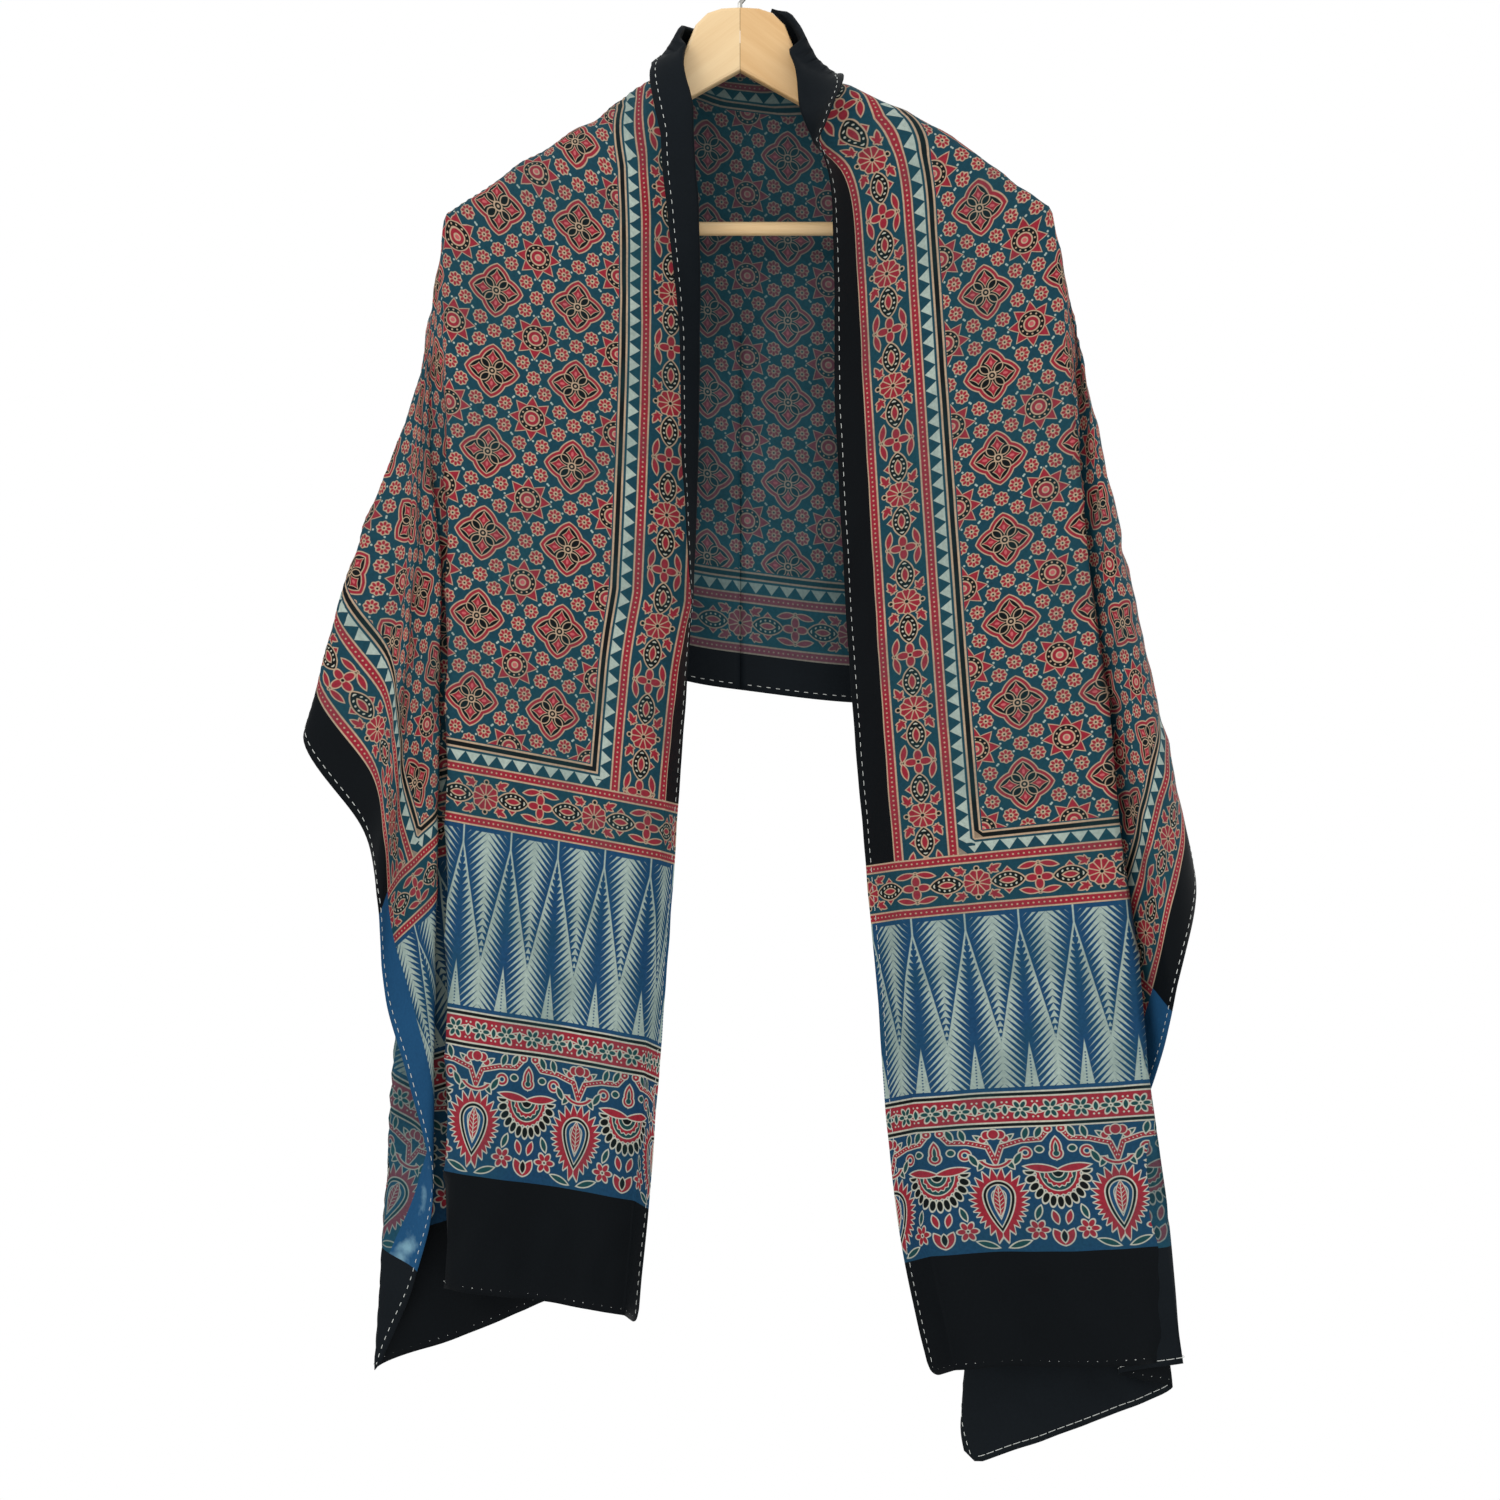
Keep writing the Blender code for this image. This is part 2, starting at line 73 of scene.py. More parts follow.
# %% Sizes and fold tables
CLOTH_WIDTH = 0.535
COLLAR_WIDTH = 0.031
COLLAR_BEND = 0.002
ARM_ROLL = 0.012
NECK_ROLL = 0.035
NECK_DISTANCE = 0.2
ROLL_SETTLING = 0.35
BACK_LEAN = 3.0
CENTRE_BLEND = 0.03
NEAR_FOLDS = 0.07
FULL_FOLDS = 0.27
NEAR_DEPTH = 0.02
FULL_DEPTH = 0.15
PLAIN_BULGE = 9.0
NECK_CLEARANCE = 0.0068
NECK_DEPTH = 0.0115
NECK_SPREAD = 0.016
NECK_REACH = 0.044
SAG_NEAR = 0.03
SAG_FAR = 0.2
SAG_BEHIND = 0.045
LIFT_FULL = 0.09
NECK_OUTLINE = np.array([
    (0.0, -0.0620), (0.0140, -0.0628), (0.0245, -0.0663), (0.0335, -0.0752), (0.0405, -0.0920),
    (0.0495, -0.1088), (0.0640, -0.1230), (0.0820, -0.1370), (0.1350, -0.1768),
])
BACK_EDGE = {
    "x": (-0.221, -0.120, -0.037, 0.000, 0.087, 0.160, 0.2325),
    "z": (0.0117, -0.0200, -0.0465, -0.0503, -0.0570, -0.0520, -0.0370),
    "lift": (0.0, 0.006, 0.012, 0.010, 0.007, 0.003, 0.0),
}
LEFT = {
    "sign": -1.0,
    "arm": 0.221,
    "height": -0.2158,
    "arm_u": 0.229,
    "arm_v": 0.2275,
    "hang": 0.807,
    "ridge_slope": 44.3,
    "stretch": 1.03,
    "fold_flat": (0, 7, 15, 23, 31, 39.4, 47.5, 52.5, 57.8, 61, 64.8, 67.2, 69.9, 74.4, 79.5, 84, 89, 93.4),
    "fold_out": (0, 3.5, 4.5, 8.5, 12, 15.3, 7.4, 5.3, 4.2, 2.5, 0.8, 1.9, 3.7, -0.5, -4.2, -6, -3, 0),
    "fold_back": (3, 8, 3.5, 9, 4.5, -0.5, -2, -3.5, -1.6, -0.6, 0.3, 1.3, 1.8, 2.4, 2.2, 1.4, 0.6, 0),
    "edge_drop": (-0.1425, -0.115, -0.09, -0.045, 0.005, 0.1425, 0.33, 0.4275, 0.5925, 0.7425, 0.825),
    "edge_out": (0.0435, 0.0405, 0.0372, 0.0360, 0.0325, 0.0323, 0.0390, 0.0450, 0.0562, 0.0675, 0.0750),
    "tilt_drop": (-0.15, 0.3, 0.8),
    "tilt": (12.5, 11.0, 8.0),
    "turn_u": (0.0, 0.12, 0.27, 0.38, 0.46, 0.55, 0.80),
    "turn": (178, 165, 116, 110, 98, 74, 66),
    "sag_out": (0.0, 0.028, 0.044, 0.058, 0.068, 0.078, 0.092, 0.139, 0.195, 0.221),
    "sag": (0.0, 0.006, 0.012, 0.011, 0.013, 0.016, 0.012, 0.006, 0.004, 0.001),
}
RIGHT = {
    "sign": 1.0,
    "arm": 0.2325,
    "height": -0.2120,
    "arm_u": 0.236,
    "arm_v": 0.175,
    "hang": 0.874,
    "ridge_slope": 36.9,
    "stretch": 1.02,
    "fold_flat": (0, 7, 15, 24, 32, 39, 45.4, 52, 57, 61, 64, 66.5, 68.5, 73.5, 79, 82, 85, 88.5),
    "fold_out": (0, 3.5, 3.5, 7, 9, 12.5, 12.2, 8.8, 6.6, 2.8, -0.6, -3.9, -2.6, 2.2, 6, 4.5, 3.5, 6.7),
    "fold_back": (3, 8, 3.5, 9, 4.5, 5, -0.5, -3, 1.2, 3.2, 3.3, 2.7, 2.2, 1.8, 1, 0.7, 0.5, 0),
    "edge_drop": (-0.14, -0.115, -0.08, -0.06, -0.03, 0.026, 0.146, 0.334, 0.446, 0.596, 0.694, 0.784, 0.875),
    "edge_out": (0.025, 0.033, 0.043, 0.054, 0.0625, 0.0660, 0.0712, 0.0825, 0.0915, 0.105, 0.1125, 0.1237, 0.1425),
    "tilt_drop": (-0.15, 0.1, 0.5, 0.85),
    "tilt": (17.0, 15.0, 6.0, 2.0),
    "turn_u": (0.0, 0.09, 0.115, 0.14, 0.17, 0.22, 0.45, 1.0),
    "turn": (179, 176, 148, 95, 60, 46, 40, 50),
    "sag_out": (0.0, 0.028, 0.044, 0.058, 0.07, 0.09, 0.139, 0.195, 0.2325),
    "sag": (0.0, 0.004, 0.012, 0.012, 0.010, 0.002, -0.003, 0.0, 0.0),
}
print("half lengths:", [round(side["arm_u"] + side["hang"], 3) for side in (LEFT, RIGHT)])

# %% [markdown]
# Two helpers draw smooth curves: one runs through the rows of a table, the other eases from
# 0 to 1 between two values.

# %% Smooth curves
def through(places, values, x):
    """A smooth curve through the rows of a table, level beyond its ends."""
    places = np.asarray(places, float)
    values = np.asarray(values, float)
    x = np.clip(x, places[0], places[-1])
    slopes = np.empty_like(values)
    slopes[1:-1] = (values[2:] - values[:-2]) / (places[2:] - places[:-2])
    slopes[0] = (values[1] - values[0]) / (places[1] - places[0])
    slopes[-1] = (values[-1] - values[-2]) / (places[-1] - places[-2])
    row = np.clip(np.searchsorted(places, x, side="right") - 1, 0, len(places) - 2)
    span = places[row + 1] - places[row]
    t = (x - places[row]) / span
    start = (1 + 2 * t) * (1 - t) ** 2 * values[row] + t * (1 - t) ** 2 * span * slopes[row]
    end = t * t * (3 - 2 * t) * values[row + 1] + t * t * (t - 1) * span * slopes[row + 1]
    return start + end


def ease(x, low, high):
    t = np.clip((x - low) / (high - low), 0, 1)
    return t * t * (3 - 2 * t)


print("halfway between rows:", float(through((0, 1, 2), (0, 1, 0), 0.5)))

# %% [markdown]
# The front panel hangs from the front of the arm, the back panel from its back, and between
# them the cloth beyond the arm's end falls in folds. Each fold is a straight ray from the
# arm's end, as on any cloth that hangs from one point.

# %% Panels and side folds
def front_place(side, along, across):
    ridge = math.radians(side["fold_flat"][-1])
    lean = math.radians(side["fold_out"][-1])
    shortening = math.cos(lean) / math.sin(ridge)
    ridge_across = along * math.cos(ridge) / math.sin(ridge)
    tilt = np.radians(through(side["tilt_drop"], side["tilt"], along))
    drop = along * shortening + (ridge_across - across) * np.sin(tilt)
    outer = side["arm"] + along * shortening * math.tan(lean)
    turn = through(side["turn_u"], side["turn"], along + side["arm_u"])
    seen = COLLAR_WIDTH * np.clip(np.cos(np.radians(turn)), 0, 1)
    inner = through(side["edge_drop"], side["edge_out"], drop) + seen
    fold_across = COLLAR_WIDTH - side["arm_v"]
    share = (across - fold_across) / (ridge_across - fold_across)
    return inner + (outer - inner) * share, side["height"] - drop


def back_place(side, along, across):
    out = side["arm"] * (along + side["arm_u"]) / side["arm_u"]
    edge = through(BACK_EDGE["x"], BACK_EDGE["z"], side["sign"] * out)
    lift = through(BACK_EDGE["x"], BACK_EDGE["lift"], side["sign"] * out)
    down = across + side["arm_v"]
    return out, edge - down + lift * ease(down, COLLAR_WIDTH, LIFT_FULL)


def side_place(side, distance, flat):
    ridge = side["fold_flat"][-1]
    plain = np.sin(np.pi * flat / ridge) * PLAIN_BULGE + flat / ridge * side["fold_out"][-1]
    share = ease(distance, NEAR_FOLDS, FULL_FOLDS)
    out = share * through(side["fold_flat"], side["fold_out"], flat) + (1 - share) * plain
    share = ease(distance, NEAR_DEPTH, FULL_DEPTH)
    back = share * through(side["fold_flat"], side["fold_back"], flat)
    back = back + (1 - share) * BACK_LEAN * (1 - ease(flat, 0, ridge))
    out = np.radians(out)
    back = np.radians(back)
    slack = 1 + (side["stretch"] - 1) * np.sin(np.pi * flat / ridge)
    length = distance * slack
    return side["arm"] + length * np.sin(out), length * np.sin(back), side["height"] - length * np.cos(out)


print("right front panel, half way down:", front_place(RIGHT, np.array([0.4]), np.array([0.0])))

# %% [markdown]
# Where the cloth passes over the hanger's neck it is pushed clear of the wood. Then all the
# parts are joined into one map, and the neck border is turned over as a collar.

# %% The whole map
def clear_of_wood(out, depth, height):
    best = np.full(np.shape(out), 1e9)
    near_out = np.zeros(np.shape(out))
    near_height = np.zeros(np.shape(out))
    for start, end in zip(NECK_OUTLINE, NECK_OUTLINE[1:]):
        step = end - start
        t = ((out - start[0]) * step[0] + (height - start[1]) * step[1]) / (step @ step)
        t = np.clip(t, 0, 1)
        on_out = start[0] + t * step[0]
        on_height = start[1] + t * step[1]
        distance = np.hypot(out - on_out, height - on_height)
        nearer = distance < best
        best = np.where(nearer, distance, best)
        near_out = np.where(nearer, on_out, near_out)
        near_height = np.where(nearer, on_height, near_height)
    inside = height < np.interp(out, NECK_OUTLINE[:, 0], NECK_OUTLINE[:, 1])
    sign = np.where(inside, -1.0, 1.0)
    direction_out = sign * (out - near_out) / np.maximum(best, 1e-9)
    direction_height = sign * (height - near_height) / np.maximum(best, 1e-9)
    push = np.clip(NECK_CLEARANCE - sign * best, 0, None)
    push = push * (1 - ease(np.abs(depth), NECK_DEPTH, NECK_SPREAD))
    push = push * (1 - ease(out, NECK_OUTLINE[-2, 0], NECK_OUTLINE[-1, 0]))
    push = push * ease(out, -NECK_OUTLINE[1, 0], 0) * (1 - ease(best, NECK_REACH / 2, NECK_REACH))
    return out + push * direction_out, height + push * direction_height


def base_place(side, u, v):
    along = u - side["arm_u"]
    across = v - side["arm_v"]
    reach = np.hypot(along, across)
    flat = np.degrees(np.arctan2(along, across))
    slope = math.radians(side["ridge_slope"])
    flat = np.where(flat < -(90 + side["ridge_slope"]), flat + 360, flat)
    to_neck = -(along * math.cos(slope) + across * math.sin(slope))
    to_front = along * math.sin(slope) - across * math.cos(slope)
    shoulder = to_neck > 0

    neckward = ease(np.clip(to_neck, 0, None), 0, NECK_DISTANCE)
    roll = ARM_ROLL + (NECK_ROLL - ARM_ROLL) * neckward
    settle = ROLL_SETTLING * (NECK_ROLL - ARM_ROLL) * neckward
    far = np.where(shoulder, np.abs(to_front), reach)
    quarter = roll * math.pi / 2
    centre = 1 - ease(u, 0, CENTRE_BLEND)
    bend = np.clip(to_front / roll, -math.pi / 2, math.pi / 2)
    bend = np.where(shoulder, bend * (1 - centre) - centre * math.pi / 2, -math.pi / 2)
    angle = np.clip(far / roll, 0, math.pi / 2)
    rolled = np.where(far < quarter, settle + (quarter - settle) * (1 - np.cos(angle)), far)
    rolled = rolled * (1 - centre) + far * centre
    stand = roll * np.sin(angle)

    foot_along = along - to_front * math.sin(slope)
    foot_across = across + to_front * math.cos(slope)
    scale = rolled / np.maximum(far, 1e-9)
    front_along = np.where(shoulder, foot_along + rolled * math.sin(slope), along * scale)
    front_across = np.where(shoulder, foot_across - rolled * math.cos(slope), across * scale)
    behind = rolled * (1 - centre) - to_front * centre
    back_along = np.where(shoulder, foot_along - behind * math.sin(slope), along * scale)
    back_across = np.where(shoulder, foot_across + behind * math.cos(slope), across * scale)

    front_out, front_z = front_place(side, front_along, front_across)
    back_out, back_z = back_place(side, back_along, back_across)
    ridge = side["fold_flat"][-1]
    is_side = (flat >= 0) & (flat <= ridge)
    front_share = np.where(shoulder, 0.5 + 0.5 * np.sin(bend), flat > ridge)
    out = front_share * front_out + (1 - front_share) * back_out
    height = front_share * front_z + (1 - front_share) * back_z
    lean = math.tan(math.radians(BACK_LEAN)) * np.clip(across, 0, None) * (1 - 0.7 * ease(-along, 0, 0.15))
    depth = np.where(shoulder, -roll * np.sin(bend), (1 - 2 * front_share) * stand)
    depth = depth + (1 - front_share) * lean

    side_out, side_back, side_z = side_place(side, rolled, np.clip(flat, 0, ridge))
    side_depth = side_back + stand * np.cos(math.pi * np.clip(flat / ridge, 0, 1))
    out = np.where(is_side, side_out, out)
    height = np.where(is_side, side_z, height)
    depth = np.where(is_side, side_depth, depth)
    sag = through(side["sag_out"], side["sag"], out)
    sag = sag * (1 - ease(to_front, SAG_NEAR, SAG_FAR)) * (1 - ease(-to_front, 0, SAG_BEHIND))
    height = height - sag
    out, height = clear_of_wood(out, depth, height)
    return np.stack([side["sign"] * out, depth, height], axis=-1)


def place(side, u, v):
    fold = COLLAR_WIDTH
    turn = np.radians(through(side["turn_u"], side["turn"], u))
    past = np.clip(fold - v, 0, None)
    bent = np.minimum(past / COLLAR_BEND, turn)
    rest = past - bent * COLLAR_BEND
    inward = COLLAR_BEND * np.sin(bent) + rest * np.cos(turn)
    lifted = COLLAR_BEND * (1 - np.cos(bent)) + rest * np.sin(turn)
    at = np.where(v < fold, fold - inward, v)
    step = 0.002
    along = base_place(side, u + step, np.maximum(at, fold)) - base_place(side, u - step, np.maximum(at, fold))
    across = base_place(side, u, np.maximum(at, fold) + 2 * step) - base_place(side, u, np.maximum(at, fold))
    normal = side["sign"] * np.cross(along, across)
    normal = normal / np.maximum(np.linalg.norm(normal, axis=-1, keepdims=True), 1e-12)
    points = base_place(side, u, at) + normal * lifted[..., None]
    out, height = clear_of_wood(side["sign"] * points[..., 0], points[..., 1], points[..., 2])
    return np.stack([side["sign"] * out, points[..., 1], height], axis=-1)


print("arm end:", place(LEFT, np.array([0.229]), np.array([0.2275])).round(3))

# %% [markdown]
# Soft cloth is never quite flat. A few long waves and many small crinkles are added along the
# cloth's own normal, the waves only in the hanging fronts, and the corners of the ends are
# rounded a little, as turned hems are.

# %% Waves and crinkles
CORNER_RADIUS = 0.012
CORNER_REACH = 0.03
CRINKLE_COUNT = 26
CRINKLE_HEIGHT = 0.00020
crinkle_random = np.random.default_rng(7)
CRINKLES = [
    (size * math.cos(turn), size * math.sin(turn), phase)
    for size, turn, phase in zip(
        crinkle_random.uniform(50, 240, CRINKLE_COUNT),
        crinkle_random.normal(math.pi / 2, 0.55, CRINKLE_COUNT),
        crinkle_random.uniform(0, 2 * math.pi, CRINKLE_COUNT),
    )
]


def waves(side, u, v):
    """How far the cloth stands off its smooth shape at a flat place."""
    length = side["arm_u"] + side["hang"]
    small = sum(np.sin(side["sign"] * u * along + v * across + phase) for along, across, phase in CRINKLES)
    hanging = ease(u, side["arm_u"] + 0.05, side["arm_u"] + 0.5) * (1 - ease(v, 0.16, 0.24)) * ease(v, 0.02, 0.08)
    long_wave = np.sin(2 * math.pi * v / 0.19 + 2.5 * u) * 0.0035
    hem_wave = np.sin(2 * math.pi * v / 0.115 + side["sign"] * 0.8) * 0.0045 * ease(u, length - 0.35, length)
    calm = ease(u, 0, 0.04) * (0.25 + 0.75 * ease(np.minimum(v, CLOTH_WIDTH - v), 0.02, 0.06))
    return small * CRINKLE_HEIGHT * calm + (long_wave + hem_wave) * hanging


def surface(side, u, v):
    """Place and outward direction of the finished cloth at a flat place."""
    length = side["arm_u"] + side["hang"]
    from_edge = np.minimum(v, CLOTH_WIDTH - v)
    missing = np.clip(CORNER_RADIUS - from_edge, 0, CORNER_RADIUS)
    short = CORNER_RADIUS - np.sqrt(CORNER_RADIUS**2 - missing**2)
    u = u - short * ease(u, length - CORNER_REACH, length)
    step = 0.0006
    along = place(side, u + step, v) - place(side, u - step, v)
    across = place(side, u, v + step) - place(side, u, v - step)
    normal = side["sign"] * np.cross(along, across)
    normal = normal / np.maximum(np.linalg.norm(normal, axis=-1, keepdims=True), 1e-12)
    return place(side, u, v) + normal * waves(side, u, v)[..., None], normal


print("largest wave:", float(np.abs(waves(LEFT, np.linspace(0, 1, 200), np.full(200, 0.1))).max()))

# %% [markdown]
# ## The printed zones
# The print has a layout that a block printer lays out with lines first: a black border and a
# flower border along both long edges, and at each end a cross border, a band of fir trees, a
# red flower band, a paisley band and a black end. The mesh gets its own line of vertices at
# each of those boundaries, so every zone is its own material and its edges are crisp.

# %% Layout of the print
BLACK_EDGE = 0.028
BORDER_WIDTH = 0.0635
END_BLACK = 0.088
END_PAISLEY = 0.183
END_RED = 0.214
END_FERN = 0.350
END_CROSS = END_FERN + BORDER_WIDTH
CHAIN_WIDTH = 0.046
END_CHAIN = END_FERN + CHAIN_WIDTH
NECK_SHADE_U = 0.085
NECK_SHADE_V = 0.052
ZONES = ("black", "border", "field", "fern", "red_band", "paisley", "margin")
GRID_STEP = 0.0052


def lines_between(stops, step):
    """Grid lines that hit every stop and are about one step apart between them."""
    lines = [stops[0]]
    for low, high in zip(stops, stops[1:]):
        count = max(1, round((high - low) / step))
        lines += [low + (high - low) * n / count for n in range(1, count + 1)]
    return np.array(lines)


def zone_of(u, v, length):
    """The zone at a place, where the cross borders and their corners are told apart."""
    from_end = length - u
    from_edge = min(v, CLOTH_WIDTH - v)
    if from_end < END_BLACK or (u < NECK_SHADE_U and v < NECK_SHADE_V):
        return "black"
    if from_end < END_CHAIN and v > CLOTH_WIDTH - BLACK_EDGE:
        return "margin"
    if from_end < END_PAISLEY:
        return "paisley"
    if from_end < END_RED:
        return "red_band"
    if from_end < END_FERN:
        return "fern"
    if from_end < END_CHAIN:
        return "cross"
    if from_edge < BLACK_EDGE:
        return "black"
    if from_edge < BLACK_EDGE + CHAIN_WIDTH:
        return "border"
    if from_end < END_CROSS:
        return "corner" if from_edge < BLACK_EDGE + BORDER_WIDTH else "cross"
    return "border" if from_edge < BLACK_EDGE + BORDER_WIDTH else "field"


def print_place(zone, u, v, length, lengthwise):
    """The place in the zone's own pattern: along it, and across or up it."""
    from_end = length - u
    from_edge = min(v, CLOTH_WIDTH - v)
    if zone == "border":
        return u, from_edge - BLACK_EDGE
    if zone == "cross":
        return v, from_end - END_FERN
    if zone == "corner":
        return (u if lengthwise else v), min(from_edge - BLACK_EDGE, from_end - END_FERN)
    if zone == "field":
        return from_end - END_CROSS, v - BLACK_EDGE - BORDER_WIDTH
    return v, from_end


print("zones across the middle:", [zone_of(0.1, v, 1.0) for v in (0.01, 0.05, 0.2)])

# %% [markdown]
# The sheet is made twice, once per half, and welded at the middle of the back. Each corner of
# each face keeps two flat places: its place on the cloth, for the weave, and its place in the
# zone's own pattern, for the print.

# %% Build the sheet
def sheet_half(side, mesh, layers):
    length = side["arm_u"] + side["hang"]
    u_stops = [0, length - END_CROSS, length - END_CHAIN, length - END_FERN, length - END_RED]
    u_stops += [length - END_PAISLEY, length - END_BLACK, length]
    inner = BLACK_EDGE + BORDER_WIDTH
    u_lines = lines_between(u_stops, GRID_STEP)
    fold_lines = lines_between([0, 0.018, 0.0205, BLACK_EDGE, COLLAR_WIDTH + 0.001], 0.0016)
    chain_end = BLACK_EDGE + CHAIN_WIDTH
    v_stops = [COLLAR_WIDTH + 0.001, chain_end, inner, CLOTH_WIDTH - inner, CLOTH_WIDTH - chain_end]
    other = lines_between(v_stops + [CLOTH_WIDTH - BLACK_EDGE, CLOTH_WIDTH], GRID_STEP)
    v_lines = np.concatenate([fold_lines, other[1:]])
    grid_u, grid_v = np.meshgrid(u_lines, v_lines, indexing="ij")
    points, normals = surface(side, grid_u, grid_v)
    verts = [[mesh.verts.new(point) for point in row] for row in points]
    flip = side["sign"] > 0
    for i in range(len(u_lines) - 1):
        for j in range(len(v_lines) - 1):
            middle_u = (u_lines[i] + u_lines[i + 1]) / 2
            middle_v = (v_lines[j] + v_lines[j + 1]) / 2
            zone = zone_of(middle_u, middle_v, length)
            corners = [(i, j), (i + 1, j), (i + 1, j + 1), (i, j + 1)]
            if not flip:
                corners.reverse()
            face = mesh.faces.new([verts[a][b] for a, b in corners])
            face.smooth = True
            drawn = "border" if zone in ("cross", "corner") else zone
            face.material_index = ZONES.index(drawn)
            lengthwise = min(middle_v, CLOTH_WIDTH - middle_v) - BLACK_EDGE <= length - middle_u - END_FERN + 0.0005
            for loop, (a, b) in zip(face.loops, corners):
                u, v = u_lines[a], v_lines[b]
                loop[layers[0]].uv = (side["sign"] * u, v)
                loop[layers[1]].uv = print_place(zone, u, v, length, lengthwise)


sheet_mesh = bmesh.new()
uv_layers = [sheet_mesh.loops.layers.uv.new("cloth"), sheet_mesh.loops.layers.uv.new("print")]
sheet_half(LEFT, sheet_mesh, uv_layers)
sheet_half(RIGHT, sheet_mesh, uv_layers)
seam = [vert for vert in sheet_mesh.verts if abs(vert.co.x) < 0.0005]
bmesh.ops.remove_doubles(sheet_mesh, verts=seam, dist=0.0003)
stole_data = bpy.data.meshes.new("stole_cloth")
sheet_mesh.to_mesh(stole_data)
sheet_mesh.free()
stole = bpy.data.objects.new("stole_cloth", stole_data)
scene.collection.objects.link(stole)
print("cloth:", len(stole_data.vertices), "vertices,", len(stole_data.polygons), "faces")

# %% [markdown]
# ## Drawing with nodes
# A printed motif is a set of shapes, and a shape is a distance: inside it the distance is
# negative. This helper writes such formulas as Math nodes, one node for each step, so that
# the drawing reads like arithmetic.

# %% Arithmetic that becomes nodes
class Value:
    def __init__(self, sheet, socket):
        self.sheet = sheet
        self.socket = socket

    def __add__(self, other):
        return self.sheet.math("ADD", self, other)

    def __radd__(self, other):
        return self.sheet.math("ADD", self, other)

    def __sub__(self, other):
        return self.sheet.math("SUBTRACT", self, other)

    def __rsub__(self, other):
        return self.sheet.math("SUBTRACT", other, self)

    def __mul__(self, other):
        return self.sheet.math("MULTIPLY", self, other)

    def __rmul__(self, other):
        return self.sheet.math("MULTIPLY", self, other)

    def __truediv__(self, other):
        return self.sheet.math("DIVIDE", self, other)

    def __abs__(self):
        return self.sheet.math("ABSOLUTE", self)


class Drawing:
    """Adds nodes to one tree."""

    def __init__(self, tree):
        self.tree = tree

    def node(self, kind, inputs=(), **settings):
        node = self.tree.nodes.new(kind)
        for name, value in settings.items():
            setattr(node, name, value)
        for index, value in inputs:
            if isinstance(value, Value):
                value = value.socket
            if isinstance(value, bpy.types.NodeSocket):
                self.tree.links.new(value, node.inputs[index])
            else:
                node.inputs[index].default_value = value
        return node

    def math(self, operation, *values, clamp=False):
        node = self.node("ShaderNodeMath", list(enumerate(values)), operation=operation, use_clamp=clamp)
        return Value(self, node.outputs[0])

    def near(self, x, pitch):
        return self.math("WRAP", x, pitch / 2, -pitch / 2)

    def mirrored(self, x, half):
        return self.math("PINGPONG", x, half)

    def larger(self, a, b):
        return self.math("MAXIMUM", a, b)

    def smaller(self, a, b):
        return self.math("MINIMUM", a, b)

    def point(self, x, y):
        node = self.node("ShaderNodeCombineXYZ", [(0, x), (1, y)])
        return node.outputs[0]

    def length(self, x, y):
        node = self.node("ShaderNodeVectorMath", [(0, self.point(x, y))], operation="LENGTH")
        return Value(self, node.outputs["Value"])

    def away(self, point, x, y):
        node = self.node("ShaderNodeVectorMath", [(0, point), (1, (x, y, 0))], operation="DISTANCE")
        return Value(self, node.outputs["Value"])

    def angle(self, y, x):
        return self.math("ARCTAN2", y, x)

    def both(self, a, b):
        return self.math("MULTIPLY", a, b)

    def leaf(self, point, x, y, half_length, half_width, degrees):
        """A leaf with two points: the overlap of two circles."""
        radius = (half_length**2 + half_width**2) / (2 * half_width)
        shift = radius - half_width
        dx = -math.sin(math.radians(degrees)) * shift
        dy = math.cos(math.radians(degrees)) * shift
        return self.larger(self.away(point, x + dx, y + dy), self.away(point, x - dx, y - dy)) - radius

    def petals(self, r, turn, count, middle, half_length, half_width):
        """A ring of oval petals around a centre."""
        sideways = self.mirrored(turn, math.pi / count) * r
        return self.length(sideways / half_width, (r - middle) / half_length) * half_width - half_width

    def stroke(self, point, stops):
        """The distance to a line through the stops."""
        nearest = None
        for start, end in zip(stops, stops[1:]):
            run = Vector(end) - Vector(start)
            moved = self.node("ShaderNodeVectorMath", [(0, point), (1, (*start, 0))], operation="SUBTRACT")
            unit = (*(run / run.length_squared), 0)
            dot = self.node("ShaderNodeVectorMath", [(0, moved.outputs[0]), (1, unit)], operation="DOT_PRODUCT")
            share = self.math("ADD", Value(self, dot.outputs["Value"]), 0, clamp=True)
            foot = self.node("ShaderNodeVectorMath", [(0, (*run, 0)), ("Scale", share)], operation="SCALE")
            ends = [(0, moved.outputs[0]), (1, foot.outputs[0])]
            gap = self.node("ShaderNodeVectorMath", ends, operation="DISTANCE")
            gap = Value(self, gap.outputs["Value"])
            nearest = gap if nearest is None else self.smaller(nearest, gap)
        return nearest

    def inside(self, distance, size=0.0, soft=0.0005):
        """1 where the distance is under size, with an edge as soft as ink on cloth."""
        return self.math("MULTIPLY_ADD", distance, -1 / soft, 0.5 + size / soft, clamp=True)

    def band(self, x, low, high, soft=0.0005):
        return self.inside(abs(x - (low + high) / 2), (high - low) / 2, soft)

    def paint(self, under, over, mask):
        node = self.node("ShaderNodeMix", [(0, mask), (6, under), (7, over)], data_type="RGBA")
        return node.outputs[2]

    def motif(self, under, distance, fill, outline, width=0.0009, soft=0.0005):
        under = self.paint(under, outline, self.inside(distance, width, soft))
        return self.paint(under, fill, self.inside(distance, 0.0, soft))


def colour(code):
    """A web colour code as linear red, green, blue and alpha."""
    parts = [int(code[i : i + 2], 16) / 255 for i in (1, 3, 5)]
    return tuple(p / 12.92 if p <= 0.04045 else ((p + 0.055) / 1.055) ** 2.4 for p in parts) + (1.0,)


